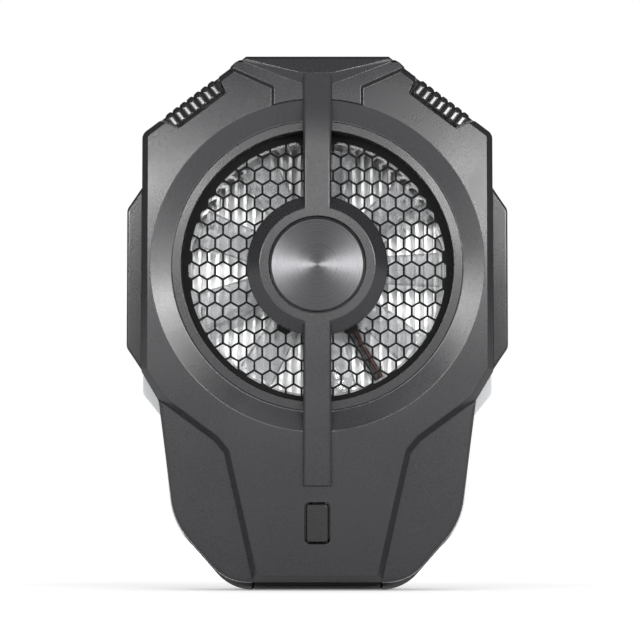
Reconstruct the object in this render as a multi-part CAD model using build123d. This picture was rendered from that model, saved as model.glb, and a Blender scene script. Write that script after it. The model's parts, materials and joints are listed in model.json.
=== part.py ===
from build123d import *
import math
import os

# Phone cooling fan: a clip-on cooler with a fan in front of a heat sink, a cooling chip behind
# it, and two spring-loaded arms that grip the phone's sides. Millimetres, Z up, the front
# faces -Y, and the cooler stands on its bottom end.
# A depth is measured back from the foremost point of the front.

# Body outline: half outlines from the top centre round to the bottom centre, as shares of the
# half width and of the height. The body is as large as the opening, the board below it, the
# crown above it and the margins beside it need.
OPENING_R = 25.8
SIDE_MARGIN = 1.7
CROWN = 8.4
BOARD_TOP = 31.5
BOARD_GAP = 2.2
HOUSING_SHARES = [(0.408, 1.0), (1.0, 0.8535), (1.0, 0.368), (0.895, 0.325), (0.828, 0.1248), (0.49, 0.0)]
FRONT_SHARES = [(0.408, 1.0), (1.0, 0.8535), (1.0, 0.407), (0.902, 0.3535), (0.813, 0.1257), (0.515, 0.0149)]
BLOCK_SHARES = [
    (0.408, 1.0),
    (1.0, 0.8535),
    (1.0, 0.407),
    (0.902, 0.3535),
    (0.587, 0.277),
    (0.530, 0.2545),
    (0.364, 0.0149),
]
TOP_CORNER_R = 0.8
SHOULDER_R = 1.9
WAIST_R = 1.4
STEP_R = 1.5
LOWER_SIDE_R = 14.0
LOWER_CORNER_R = 9.0
WALL = 1.8
CUT = 1.0
FIT = 0.1
SEAT = 0.3
RUN = 0.2

# Front cover, from its foremost point back
BAR_RISE = 1.4
BAR_PROUD = 1.0
BLOCK_RISE = 1.6
BLOCK_SLOPE = 1.15
DISH_DEPTH = 1.4
LIP_BEAD = 0.25
NET_RECESS = 5.1
FRONT_SHELL = 8.0
FACET_EDGE_R = 0.7
PANEL_WALL = 1.8
PANEL_RELIEF_WIDTH = 19.0
PANEL_RELIEF_HEIGHT = 22.0
PANEL_RELIEF_BOTTOM = 4.5

# Round opening, net, hub and bar
DISH_SLOPE = 3.8
DISH_LIP = 1.9
TUBE_WALL = 1.6
NET_THICKNESS = 0.6
NET_SEAT_WIDTH = 0.9
NET_RIM = 1.2
NET_PITCH = 3.0
NET_WIRE = 0.38
NET_CENTRE_R = 12.4
NET_SHIFT_SHARE = 0.15
NET_LEAST_SHARE = 0.12
NET_TURN = 30.0
HUB_R = 13.3
HUB_FACE_R = 10.9
HUB_SLOPE = 1.8
HUB_BACK = 6.0
DISC_R = 8.9
DISC_GAP = 0.3
DISC_THICKNESS = 1.4
DISC_PROUD = 0.2
DISC_EDGE = 0.3
BAR_WIDTH = 5.3
BAR_EDGE = 0.4
BAR_MARGIN = 3.8
BAR_TO_BUTTON = 3.1
BAR_RAMP = 8.4

# Raised trim above the opening: corner places as shares of the half width and of the height
STRAP_SHARES = [(0.47, 0.986), (0.482, 0.975), (0.247, 0.9405), (0.247, 0.893)]
STRAP_PROUD = 0.8
STRAP_SLOPE = 0.5
BROW_TIP_SHARE = (0.405, 0.992)
BROW_RIDGE_SHARE = (0.085, 0.9635)
BROW_FOOT_SHARE = (0.085, 0.944)
BROW_CORNER_SHARE = (0.439, 0.9885)
BROW_TIP_PROUD = 1.0
BROW_RIDGE_PROUD = 2.1
BROW_FOOT_PROUD = 0.75

# Ribbed grips on the upper diagonals, placed by the distance up the diagonal and in from it
GRIP_START = 4.0
GRIP_LENGTH = 14.2
GRIP_SLANT = 2.0
GRIP_WIDTH = 3.5
GRIP_DEPTH = 2.6
GRIP_GROOVE = 0.3
GRIP_SUNK = 0.35
GRIP_RIBS = 7
GRIP_RIB_PITCH = 1.65
GRIP_RIB_R = 0.55

# Power button and its switch
BUTTON_HEIGHT = 12.5
BUTTON_SIZE = (4.75, 7.8)
BUTTON_GAP = 0.35
BUTTON_R = 0.9
BUTTON_PROUD = 0.1
BUTTON_FLANGE = 0.7
BUTTON_FLANGE_RIM = 0.8
BUTTON_EDGE = 0.2
BUTTON_TRAVEL = 0.4
STEM_R = 1.1
SWITCH_SIZE = 5.0
SWITCH_DEPTH = 2.6
PLUNGER_R = 1.3
PLUNGER_PROUD = 0.7
PLUNGER_SUNK = 1.0

# Light frame between the two covers, and rear cover
LIGHT_BAND = 4.0
TONGUE = 1.0
TONGUE_REACH = 1.0
REAR_WALL = 1.6
REAR_EDGE_R = 1.4
VENT_COUNT = 13
VENT_PITCH = 3.3
VENT_WIDTH = 1.5
VENT_LENGTH = 7.5

# Main board and socket
BOARD_FRONT = 10.2
BOARD_THICKNESS = 1.2
BOARD_WIDTH = 41.0
BOARD_WAIST = 15.0
BOARD_WAIST_WIDTH = 29.0
BOARD_FOOT = 7.0
BOARD_TAB_WIDTH = 13.0
BOARD_TAB_FOOT = 3.8
POST_INSETS = [(3.1, 2.9), (3.3, 2.8)]
BOARD_POST_R = 1.9
BOARD_SCREW_R = 0.8
BOARD_SCREW_HEAD_R = 1.6
BOARD_SCREW_HEAD = 1.1
BOARD_SCREW_LENGTH = 4.2
SOCKET_WIDTH = 8.94
SOCKET_DEPTH = 3.26
SOCKET_LENGTH = 7.3
SOCKET_WALL = 0.3
SOCKET_INSET = 0.5
SOCKET_R = 1.2
TONGUE_WIDTH = 6.7
TONGUE_DEPTH = 0.7
TONGUE_INSET = 1.0
PORT_WIDTH = 24.6
PORT_DEPTH = 11.4
PORT_GAP = 0.25
PORT_THICKNESS = 1.7
PORT_LIFT = 0.1

# Case screws
SHOULDER_SCREW_DROP = 2.5
FOOT_SCREW_PLACE = (18.0, 11.0)
SCREW_R = 1.0
SCREW_HEAD_R = 1.8
SCREW_HEAD = 1.4
SCREW_LENGTH = 12.0
SCREW_SLOT_R = 0.8
SCREW_SLOT = 0.5
BOSS_R = 2.2
BOSS_BACK = 13.0
COLUMN_R = 2.6
HEAD_SEAT = 22.0

# Fan: frame, impeller and motor
FAN_DEPTH = 7.6
FAN_INSET = 0.4
FAN_RING_WALL = 1.2
FAN_BASE_R = 9.6
FAN_BASE = 1.2
STRUT_COUNT = 4
STRUT_ANGLE = -60.0
STRUT_WIDTH = 3.2
LEAD_GROOVE_WIDTH = 2.2
LEAD_GROOVE = 0.95
LUG_R = 2.4
LUG_OUT = 5.6
LUG_ANGLE = 45.0
LUG_DEPTH = 1.5
FAN_SCREW_R = 0.9
FAN_SCREW_HEAD_R = 1.7
FAN_SCREW_HEAD = 1.2
FAN_SCREW_LENGTH = 5.4
ROTOR_R = 10.5
ROTOR_WALL = 0.9
ROTOR_GAP = 1.0
ROTOR_DEPTH = 4.8
BLADE_COUNT = 9
BLADE_GAP = 0.8
BLADE_CHORD = 6.6
BLADE_TIP_CHORD = 7.6
BLADE_THICKNESS = 0.8
BLADE_ANGLE = 40.0
BLADE_TIP_ANGLE = 30.0
BLADE_CAMBER = 0.7
YOKE_WALL = 0.5
MAGNET_WALL = 1.0
SHAFT_R = 0.75
SHAFT_RUN = 0.03
BEARING_R = 1.6
BEARING_TUBE_WALL = 0.6
AIR_GAP = 0.4
CORE_DEPTH = 1.4
CORE_HUB_R = 3.9
POLE_COUNT = 4
POLE_WIDTH = 1.8
POLE_SHOE = 0.9
POLE_GAP = 2.0
COIL_WALL = 0.7
FAN_BOARD_THICKNESS = 0.5
FAN_BOARD_R = 7.4

# Heat sink, cooling chip and cold plate
SINK_INSET = 0.9
SINK_BASE = 1.8
FIN_DEPTH = 4.9
FIN_PITCH = 1.75
FIN_THICKNESS = 0.55
SINK_POST = 5.0
CHIP_SIZE = 20.0
CHIP_RISE = 2.1
CERAMIC = 0.7
PELLET_DEPTH = 1.8
PELLET_SIZE = 1.4
PELLET_COUNT = 6
PELLET_PITCH = 3.1
FOAM_SIZE = (28.0, 22.2)
COLD_PLATE_INSET = 2.5
COLD_PLATE_HEIGHT = 26.0
COLD_PLATE = 1.7
COLD_PLATE_PROUD = 0.3
COLD_PLATE_R = 2.0
PLATE_SCREW_INSETS = (2.7, 4.3)
PLATE_SCREW_R = 0.9
PLATE_SCREW_HEAD_R = 1.7
PLATE_SCREW_HEAD = 0.9
PLATE_SCREW_LENGTH = 5.6
PAD_INSETS = (5.5, 1.0)
PAD_THICKNESS = 0.8

# Clamp arms, racks, pinion and spring
PHONE_GAP = 9.0
HOOK = 2.0
HOOK_REACH = 3.4
JAW_WALL = 2.95
JAW_RISE = 15.8
JAW_HEIGHT = 35.2
JAW_CHAMFER = 4.3
JAW_R = 2.0
JAW_EDGE_R = 0.5
JAW_PAD = 1.1
JAW_PAD_MARGIN = 5.0
ARM_TRAVEL = 10.5
GUIDE_DROP = 1.3
GUIDE_RAIL = 2.0
GUIDE_END = 2.0
RACK_RAIL = 1.9
PINION_RISE = 5.2
MODULE = 0.5
PINION_TEETH = 10
PRESSURE_ANGLE = 25.0
ADDENDUM = 0.4
DEDENDUM = 0.55
BACKLASH = 0.15
RACK_LEAD = 3.0
PINION_BORE_R = 0.85
PINION_RUN = 0.05
PIN_SUNK = 1.2
SPRING_R = 1.0
SPRING_WIRE_R = 0.15
SPRING_TURNS = 14
SPRING_POST_PLACE = -5.3
SPRING_POST_R = 0.7
SPRING_TAB_PLACE = -19.5
SPRING_TAB_WIDTH = 1.4
SPRING_TAB_DROP = 3.9

# Leads
LEAD_R = 0.4
LEAD_SPACING = 0.95
LEAD_BEND_SHARE = 0.45
LEAD_EXIT = 3.4
LEAD_DROP = 3.2
LEAD_STEP = 1.2
CHIP_LEAD_DROP = 3.2
CHIP_LEAD_ASIDE = 2.7
CHIP_LEAD_SINK = 1.3
CHIP_LEAD_RISE = 2.0
CONNECTOR_SIZE = (4.6, 3.4, 2.6)
CONNECTOR_ASIDE = (6.6, 12.6)
CONNECTOR_DROP = 4.5

# Small parts on the board: size, place and height of each chip, and places of the rest
CHIPS = [
    ((5.0, 5.0), (-8.0, 21.5), 1.0),
    ((4.0, 3.0), (-1.0, 21.0), 1.4),
    ((3.0, 3.0), (-8.0, 15.0), 0.9),
]
CAPACITOR_PLACES = [(-13.2, 19.5), (8.6, 16.5)]
CAPACITOR_R = 2.0
CAPACITOR_LENGTH = 3.0
LED_SIZE = (2.8, 3.0)
LED_DEPTH = 1.6
LED_SHARES = [0.12, 0.42]
FLANK_SHARES = [0.0, 0.15, 0.35, 0.6, 1.0]

# Depths that follow from the sizes above
PLATE = BAR_RISE + BAR_PROUD
FACET = PLATE + BLOCK_RISE
LIP = PLATE + DISH_DEPTH
NET_FRONT = LIP + NET_RECESS
NET_BACK = NET_FRONT + NET_THICKNESS
FRONT_BACK = PLATE + FRONT_SHELL
CAVITY = FACET + WALL - RUN
LIGHT_BACK = FRONT_BACK + LIGHT_BAND
FAN_FRONT = NET_BACK + SEAT
FAN_BACK = FAN_FRONT + FAN_DEPTH
FAN_BASE_FRONT = FAN_BACK - FAN_BASE
SINK_FRONT = FAN_BACK + SEAT
SINK_BASE_FRONT = SINK_FRONT + FIN_DEPTH
SINK_BACK = SINK_BASE_FRONT + SINK_BASE
CHIP_BACK = SINK_BACK + CERAMIC + PELLET_DEPTH + CERAMIC
COLD_PLATE_BACK = CHIP_BACK + COLD_PLATE
PAD_BACK = COLD_PLATE_BACK + PAD_THICKNESS
HOOK_FRONT = PAD_BACK + PHONE_GAP
TOTAL_DEPTH = HOOK_FRONT + HOOK
REAR_BACK = COLD_PLATE_BACK - COLD_PLATE_PROUD
REAR_INNER = REAR_BACK - REAR_WALL
RAIL_FRONT = SINK_BACK + SEAT
RAIL_BACK = REAR_INNER - RUN
BOARD_BACK = BOARD_FRONT + BOARD_THICKNESS
SOCKET_FRONT = BOARD_BACK + SEAT
ROTOR_FRONT = FAN_FRONT + ROTOR_GAP
ROTOR_BACK = ROTOR_FRONT + ROTOR_DEPTH

# Places that follow
DISH_FLOOR_R = OPENING_R + DISH_LIP
DISH_R = DISH_FLOOR_R + DISH_SLOPE
FAN_HEIGHT = BOARD_TOP + BOARD_GAP + OPENING_R + TUBE_WALL
BODY_HEIGHT = FAN_HEIGHT + DISH_R + CROWN
HALF_WIDTH = DISH_R + SIDE_MARGIN
NET_HOLE_R = OPENING_R - NET_RIM
BAR_TOP = BODY_HEIGHT - BAR_MARGIN
BAR_BOTTOM = BUTTON_HEIGHT + BUTTON_SIZE[1] / 2 + BAR_TO_BUTTON
FAN_RING_R = OPENING_R - FAN_INSET
BLADE_TIP_R = FAN_RING_R - FAN_RING_WALL - BLADE_GAP
LUG_REACH = FAN_RING_R + LUG_OUT
SINK_WIDTH = 2 * (FAN_RING_R - SINK_INSET)
CHIP_HEIGHT = FAN_HEIGHT + CHIP_RISE
COLD_PLATE_SIZE = (SINK_WIDTH - 2 * COLD_PLATE_INSET, COLD_PLATE_HEIGHT)
PLATE_SCREWS = [size / 2 - inset for size, inset in zip(COLD_PLATE_SIZE, PLATE_SCREW_INSETS)]
PAD_SIZE = [size - 2 * inset for size, inset in zip(COLD_PLATE_SIZE, PAD_INSETS)]
JAW_TOP = FAN_HEIGHT + JAW_RISE
JAW_BOTTOM = JAW_TOP - JAW_HEIGHT
GUIDE_HEIGHT = JAW_TOP - GUIDE_DROP
PINION_HEIGHT = JAW_BOTTOM + PINION_RISE
CHIP_LEAD_HEIGHT = CHIP_HEIGHT - CHIP_LEAD_DROP
CONNECTOR_PLACES = [(aside, BOARD_TOP - CONNECTOR_DROP) for aside in CONNECTOR_ASIDE]
BOARD_POSTS = [
    (BOARD_WIDTH / 2 - POST_INSETS[0][0], BOARD_TOP - POST_INSETS[0][1]),
    (BOARD_WAIST_WIDTH / 2 - POST_INSETS[1][0], BOARD_FOOT + POST_INSETS[1][1]),
]
SHOULDER_SCREW_PLACE = (
    SINK_WIDTH / 2 + COLUMN_R + RUN,
    HOUSING_SHARES[1][1] * BODY_HEIGHT - SHOULDER_SCREW_DROP,
)
SCREW_PLACES = [SHOULDER_SCREW_PLACE, FOOT_SCREW_PLACE]
JAW_INNER = HALF_WIDTH + SEAT
JAW_OUTER = JAW_INNER + JAW_WALL
PINION_R = MODULE * PINION_TEETH / 2
TOOTH_PITCH = MODULE * math.pi
LUG_OFFSET = LUG_REACH * math.cos(math.radians(LUG_ANGLE))
STATOR_R = ROTOR_R - ROTOR_WALL - YOKE_WALL - MAGNET_WALL - AIR_GAP
TUBE_R = BEARING_R + BEARING_TUBE_WALL
STATOR_FRONT = ROTOR_FRONT + ROTOR_WALL + YOKE_WALL + COIL_WALL + SEAT


def y_at(depth):
    """Y of the plane at a depth."""
    return depth - TOTAL_DEPTH / 2


def facing(depth):
    """Plane at a depth that faces the front, with X to the right and Z up."""
    return Plane(origin=(0, y_at(depth), 0), x_dir=(1, 0, 0), z_dir=(0, -1, 0))


def lay(face, near, far, taper=0):
    """Solid of a flat face between two depths; the taper narrows it towards the front."""
    return extrude(facing(far) * face, amount=far - near, taper=taper)


def slab(points, near, far, radii=0):
    """Solid between two depths under an outline of (x, z) points, with rounded corners."""
    line = FilletPolyline(*points, radius=radii, close=True) if radii else Polyline(*points, close=True)
    return lay(make_face(line), near, far)


def block(x_range, z_range, near, far):
    """Box between two depths."""
    x0, x1 = x_range
    z0, z1 = z_range
    return slab([(x0, z0), (x1, z0), (x1, z1), (x0, z1)], near, far)


def plate(size, centre, near, far, radius=0):
    """Rounded plate with its centre at (x, z)."""
    x, z = centre
    shape = RectangleRounded(*size, radius) if radius else Rectangle(*size)
    return lay(Pos(x, z) * shape, near, far)


def disc(radius, near, far, x=0, z=FAN_HEIGHT):
    """Cylinder along the depth, on the fan's axis unless placed elsewhere."""
    return lay(Pos(x, z) * Circle(radius), near, far)


def ring(outer, inner, near, far, x=0, z=FAN_HEIGHT):
    """Tube along the depth."""
    return lay(Pos(x, z) * (Circle(outer) - Circle(inner)), near, far)


def cone(near_radius, far_radius, near, far):
    """Cone frustum along the fan's axis."""
    plane = Plane(origin=(0, y_at(far), FAN_HEIGHT), x_dir=(1, 0, 0), z_dir=(0, -1, 0))
    return Solid.make_cone(far_radius, near_radius, far - near, plane)


def spoke(angle, start, end, width, near, far):
    """Straight arm from one radius to another about the fan's axis."""
    ux = math.cos(math.radians(angle))
    uz = math.sin(math.radians(angle))
    half = width / 2
    corners = [(start, -half), (end, -half), (end, half), (start, half)]
    points = [(r * ux - s * uz, FAN_HEIGHT + r * uz + s * ux) for r, s in corners]
    return slab(points, near, far)


def turned(shape, angle):
    """Shape turned about the fan's axis, which runs along Y."""
    axis = Axis((0, 0, FAN_HEIGHT), (0, 1, 0))
    return shape.rotate(axis, angle)


def placed(share):
    """Point of the outline from its shares of the half width and the height."""
    return (share[0] * HALF_WIDTH, share[1] * BODY_HEIGHT)


def both_sides(points):
    """Closed outline from its right half, listed from the top down."""
    return points + [(-x, z) for x, z in reversed(points)]


def outline(shares, radii):
    """Flat face of a symmetric outline with its corner radii."""
    points = both_sides([placed(share) for share in shares])
    return make_face(FilletPolyline(*points, radius=radii + radii[::-1], close=True))


def housing_face():
    """Outline of the light frame and the rear cover."""
    return outline(HOUSING_SHARES, [TOP_CORNER_R, SHOULDER_R, WAIST_R, 0, LOWER_SIDE_R, LOWER_CORNER_R])


def front_face():
    """Outline of the front cover."""
    return outline(FRONT_SHARES, [TOP_CORNER_R, SHOULDER_R, WAIST_R, 0, LOWER_SIDE_R, LOWER_CORNER_R])


def block_face():
    """Outline of the front cover's raised part at its foot."""
    return outline(BLOCK_SHARES, [0, SHOULDER_R, WAIST_R, 0, STEP_R, STEP_R, 0])


def faceted(corners, facets):
    """Closed solid from corner points and the corner numbers of its flat facets."""
    faces = [Face(Wire.make_polygon([corners[i] for i in facet], close=True)) for facet in facets]
    return Solid(Shell(faces))


def mirrored_pair(places):
    """Each (x, z) place and its mirror image."""
    return [(side * x, z) for x, z in places for side in (-1, 1)]


def diagonal():
    """Unit vectors up the right upper diagonal and in from it, in X and Z."""
    top = Vector(*placed(HOUSING_SHARES[0]))
    shoulder = Vector(*placed(HOUSING_SHARES[1]))
    up = (top - shoulder).normalized()
    return up, Vector(-up.Y, up.X)


def grip_point(side, along, inward):
    """Point on an upper diagonal: a distance up it from the shoulder and a distance in."""
    up, into = diagonal()
    point = Vector(*placed(HOUSING_SHARES[1])) + up * along + into * inward
    return (side * point.X, point.Y)


def grip_outline(side, shrink):
    """Corner points of a grip, drawn in from its pocket by a groove."""
    near_edge = -SEAT
    return [
        grip_point(side, GRIP_START + shrink, near_edge),
        grip_point(side, GRIP_START + GRIP_SLANT + shrink, GRIP_WIDTH - shrink),
        grip_point(side, GRIP_START + GRIP_LENGTH - GRIP_SLANT / 2 - shrink, GRIP_WIDTH - shrink),
        grip_point(side, GRIP_START + GRIP_LENGTH - shrink, near_edge),
    ]


def brow():
    """Ridge above the strap: an upper facet and two lower ones that meet at the bar's top."""
    base = PLATE + RUN
    tip_x, tip_z = placed(BROW_TIP_SHARE)
    ridge_x, ridge_z = placed(BROW_RIDGE_SHARE)
    foot_x, foot_z = placed(BROW_FOOT_SHARE)
    corner_x, corner_z = placed(BROW_CORNER_SHARE)
    right = [
        (tip_x, y_at(PLATE - BROW_TIP_PROUD), tip_z),
        (ridge_x, y_at(PLATE - BROW_RIDGE_PROUD), ridge_z),
        (foot_x, y_at(PLATE - BROW_FOOT_PROUD), foot_z),
        (corner_x, y_at(PLATE - BROW_FOOT_PROUD), corner_z),
        (tip_x, y_at(base), tip_z),
        (foot_x, y_at(base), foot_z),
        (corner_x, y_at(base), corner_z),
    ]
    corners = right + [(-x, y, z) for x, y, z in right]
    facets = [
        (7, 0, 1, 8),
        (8, 1, 2, 9),
        (0, 3, 1),
        (3, 2, 1),
        (7, 8, 10),
        (10, 8, 9),
        (0, 4, 6, 3),
        (3, 6, 5, 2),
        (2, 5, 12, 9),
        (9, 12, 13, 10),
        (10, 13, 11, 7),
        (7, 11, 4, 0),
        (4, 11, 13, 12, 5, 6),
    ]
    return faceted(corners, facets)


def top_trim():
    """Brow and the strap below it, kept within the front's outline."""
    strap_points = both_sides([placed(share) for share in STRAP_SHARES])
    strap_face = make_face(Polyline(*strap_points, close=True))
    slope = math.degrees(math.atan(STRAP_SLOPE / STRAP_PROUD))
    foot = offset(strap_face, amount=STRAP_SLOPE, kind=Kind.INTERSECTION)
    strap = lay(foot, PLATE - STRAP_PROUD, PLATE, taper=slope) + lay(foot, PLATE, FACET)
    return (strap + brow()) & lay(front_face(), -CUT, FACET)


def bar():
    """Bar down the middle, whose face rises at its top end."""
    face_depth = PLATE - BAR_PROUD
    back = y_at(HUB_BACK)
    ramp_foot = (y_at(face_depth), BAR_TOP - BAR_RAMP)
    ramp_top = (y_at(face_depth - BAR_RISE), BAR_TOP)
    ramp = TangentArc(ramp_foot, ramp_top, tangent=(0, 1))
    edge = Polyline(ramp_top, (back, BAR_TOP), (back, BAR_BOTTOM), (y_at(face_depth), BAR_BOTTOM), ramp_foot)
    side = Plane(origin=(-BAR_WIDTH / 2, 0, 0), x_dir=(0, 1, 0), z_dir=(1, 0, 0))
    solid = extrude(side * make_face(ramp + edge), amount=BAR_WIDTH)
    rims = [e for e in solid.edges() if abs(e.center().X) > BAR_WIDTH / 2 - BAR_EDGE]
    front_rims = [e for e in rims if e.center().Y < y_at(face_depth) + FIT]
    return chamfer(front_rims, BAR_EDGE)


def hub():
    """Round hub with its sloping side and the recess for the metal disc."""
    face_depth = PLATE - BAR_PROUD
    body = cone(HUB_FACE_R, HUB_R, face_depth, face_depth + HUB_SLOPE)
    return body + disc(HUB_R, face_depth + HUB_SLOPE, HUB_BACK)


def front_cover():
    """Front shell with its plates, dish, hub, bar, bosses and openings."""
    face = front_face()
    base = lay(face, FACET, FRONT_BACK)
    waist = placed(FRONT_SHARES[3])[1]
    lower_rim = [
        e
        for e in base.edges()
        if abs(e.center().Y - y_at(FACET)) < FIT and e.center().Z < waist
    ]
    base = fillet(lower_rim, FACET_EDGE_R)
    slope = math.degrees(math.atan(BLOCK_SLOPE / BLOCK_RISE))
    shell = base + lay(block_face(), PLATE, FACET, taper=slope) + top_trim()
    shell -= lay(offset(face, amount=-WALL), CAVITY, FRONT_BACK + CUT)
    shell += disc(OPENING_R + TUBE_WALL, LIP + RUN, NET_BACK)
    shell -= cone(DISH_R, DISH_FLOOR_R, PLATE, LIP)
    shell -= disc(DISH_R, -CUT, PLATE)
    shell += ring(DISH_FLOOR_R - RUN, OPENING_R, LIP - LIP_BEAD, LIP + RUN)
    shell -= disc(OPENING_R, -CUT, FRONT_BACK + CUT)
    shell -= disc(OPENING_R + NET_SEAT_WIDTH + FIT, NET_FRONT, FRONT_BACK + CUT)
    shell += bar() + hub()
    shell -= disc(DISC_R + DISC_GAP, -CUT, PLATE - BAR_PROUD + DISC_THICKNESS - DISC_PROUD)
    relief_top = PANEL_RELIEF_BOTTOM + PANEL_RELIEF_HEIGHT
    relief_half = PANEL_RELIEF_WIDTH / 2
    relief_x = (-relief_half, relief_half)
    shell -= block(relief_x, (PANEL_RELIEF_BOTTOM, relief_top), PLATE + PANEL_WALL, CAVITY + CUT)
    shell -= plate(BUTTON_SIZE, (0, BUTTON_HEIGHT), -CUT, CAVITY + CUT, BUTTON_R)
    for side in (-1, 1):
        shell -= slab(grip_outline(side, 0), -CUT, PLATE + GRIP_DEPTH)
    for x, z in mirrored_pair(SCREW_PLACES):
        shell += disc(BOSS_R, CAVITY - RUN, BOSS_BACK, x, z)
        shell -= disc(SCREW_R + FIT / 2, HEAD_SEAT - SCREW_LENGTH, BOSS_BACK + CUT, x, z)
    for x, z in mirrored_pair(BOARD_POSTS):
        shell += disc(BOARD_POST_R, CAVITY - RUN, BOARD_FRONT, x, z)
        shell -= disc(BOARD_SCREW_R + FIT / 2, BOARD_BACK - BOARD_SCREW_LENGTH, BOARD_FRONT + CUT, x, z)
    return shell


def net_cell(x, z):
    """Six-sided hole of the net, with upright sides, inside its round edge."""
    across = NET_PITCH - NET_WIRE
    hole = Pos(x, z) * RegularPolygon(across / 2, side_count=6, major_radius=False, rotation=NET_TURN)
    corner_reach = math.hypot(x, z) + across / math.sqrt(3)
    return hole if corner_reach < NET_HOLE_R else hole & Circle(NET_HOLE_R)


def grille_net():
    """Flat net with its solid rim and the solid centre that the hub hides."""
    row_pitch = NET_PITCH * math.sqrt(3) / 2
    rows = int(NET_HOLE_R / row_pitch) + 2
    columns = int(NET_HOLE_R / NET_PITCH) + 2
    least_area = NET_LEAST_SHARE * NET_PITCH * row_pitch
    holes = []
    for row in range(-rows, rows + 1):
        for column in range(-columns, columns + 1):
            x = (column + (row % 2) / 2) * NET_PITCH
            z = row * row_pitch - NET_SHIFT_SHARE * NET_PITCH
            reach = math.hypot(x, z)
            if NET_CENTRE_R < reach < NET_HOLE_R + NET_PITCH / 2:
                hole = net_cell(x, z)
                if hole.area > least_area:
                    holes.append(hole.faces()[0].outer_wire())
    print("grille net holes", len(holes))
    rim = Circle(OPENING_R + NET_SEAT_WIDTH).face().outer_wire()
    return lay(Pos(0, FAN_HEIGHT) * Sketch([Face(rim, holes)]), NET_FRONT, NET_BACK)


def hub_disc():
    """Turned metal disc in the hub."""
    front = PLATE - BAR_PROUD - DISC_PROUD
    solid = disc(DISC_R, front, front + DISC_THICKNESS)
    return chamfer(solid.edges().sort_by(Axis.Y)[0], DISC_EDGE)


def grip_rib(along):
    """Rounded rib across the right grip, over its sloping rim and down its side."""
    turns = [
        (GRIP_WIDTH - GRIP_GROOVE - GRIP_RIB_R, PLATE + GRIP_SUNK),
        (BLOCK_SLOPE, PLATE + GRIP_SUNK),
        (GRIP_SUNK, FACET),
        (GRIP_SUNK, PLATE + GRIP_DEPTH - GRIP_RIB_R),
    ]
    points = []
    for inward, depth in turns:
        x, z = grip_point(1, along, inward)
        points.append(Vector(x, y_at(depth), z))
    pieces = [Solid.make_sphere(GRIP_RIB_R, Plane(origin=points[0]), -90, 90, 360)]
    for start, end in zip(points, points[1:]):
        run = end - start
        pieces.append(Solid.make_cylinder(GRIP_RIB_R, run.length, Plane(origin=start, z_dir=run)))
        pieces.append(Solid.make_sphere(GRIP_RIB_R, Plane(origin=end), -90, 90, 360))
    return pieces


def right_grip():
    """Ribbed insert in the pocket on the right upper diagonal."""
    up, into = diagonal()
    x, z = grip_point(1, GRIP_START + GRIP_LENGTH, 0)
    across = Plane(origin=(x, 0, z), x_dir=(into.X, 0, into.Y), z_dir=(-up.X, 0, -up.Y))
    front = y_at(PLATE + GRIP_SUNK)
    back = y_at(PLATE + GRIP_DEPTH)
    inner = GRIP_WIDTH - GRIP_GROOVE
    section = Polyline(
        (inner, front),
        (BLOCK_SLOPE, front),
        (GRIP_SUNK, y_at(FACET)),
        (GRIP_SUNK, back),
        (inner, back),
        close=True,
    )
    solid = extrude(across * make_face(section), amount=GRIP_LENGTH)
    solid &= slab(grip_outline(1, GRIP_GROOVE), -CUT, FRONT_BACK)
    first = GRIP_START + GRIP_LENGTH / 2 - GRIP_RIB_PITCH * (GRIP_RIBS - 1) / 2
    ribs = []
    for number in range(GRIP_RIBS):
        ribs += grip_rib(first + number * GRIP_RIB_PITCH)
    return solid.fuse(*ribs)


def left_grip():
    """Mirror image of the right grip."""
    return mirror(right_grip(), Plane.YZ)


def power_button():
    """Button cap with its flange behind the panel and the stem that reaches the switch."""
    cap_front = PLATE - BUTTON_PROUD
    flange_front = PLATE + PANEL_WALL + FIT
    flange_back = flange_front + BUTTON_FLANGE
    size = [length - 2 * BUTTON_GAP for length in BUTTON_SIZE]
    flange_size = [length + BUTTON_FLANGE_RIM for length in BUTTON_SIZE]
    cap = plate(size, (0, BUTTON_HEIGHT), cap_front, flange_back, BUTTON_R - BUTTON_GAP)
    front_rim = [e for e in cap.edges() if abs(e.center().Y - y_at(cap_front)) < FIT]
    cap = chamfer(front_rim, BUTTON_EDGE)
    flange = plate(flange_size, (0, BUTTON_HEIGHT), flange_front, flange_back, BUTTON_R)
    return cap + flange + disc(STEM_R, flange_back, plunger_front(), 0, BUTTON_HEIGHT)


def plunger_front():
    """Depth of the switch plunger's front end."""
    return BOARD_FRONT - SWITCH_DEPTH - PLUNGER_PROUD


def switch_plunger():
    """Plunger of the switch, which moves in with the button."""
    front = plunger_front()
    return disc(PLUNGER_R, front, front + PLUNGER_PROUD + PLUNGER_SUNK, 0, BUTTON_HEIGHT)


def tact_switch():
    """Square switch body on the board, with the hole that its plunger moves in."""
    front = BOARD_FRONT - SWITCH_DEPTH
    body = plate((SWITCH_SIZE, SWITCH_SIZE), (0, BUTTON_HEIGHT), front, BOARD_FRONT, RUN)
    hole_back = front + PLUNGER_SUNK + BUTTON_TRAVEL + RUN
    return body - disc(PLUNGER_R + FIT / 2, front - CUT, hole_back, 0, BUTTON_HEIGHT)


def light_frame():
    """Clear band between the covers with a tongue that reaches inside each of them."""
    face = housing_face()
    inner = offset(face, amount=-(WALL + FIT + TONGUE))
    band = lay(face - inner, FRONT_BACK, LIGHT_BACK)
    tongue_face = offset(face, amount=-(WALL + FIT)) - inner
    band += lay(tongue_face, FRONT_BACK, LIGHT_BACK + TONGUE_REACH)
    outer = offset(front_face(), amount=-(WALL + FIT)) & offset(face, amount=-(WALL + FIT))
    tongue_front = FRONT_BACK - TONGUE_REACH
    band += lay(outer - inner, tongue_front, FRONT_BACK)
    half = PORT_WIDTH / 2
    return band - block((-half, half), (-CUT, BOARD_TAB_FOOT), tongue_front - CUT, LIGHT_BACK + CUT)


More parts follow.
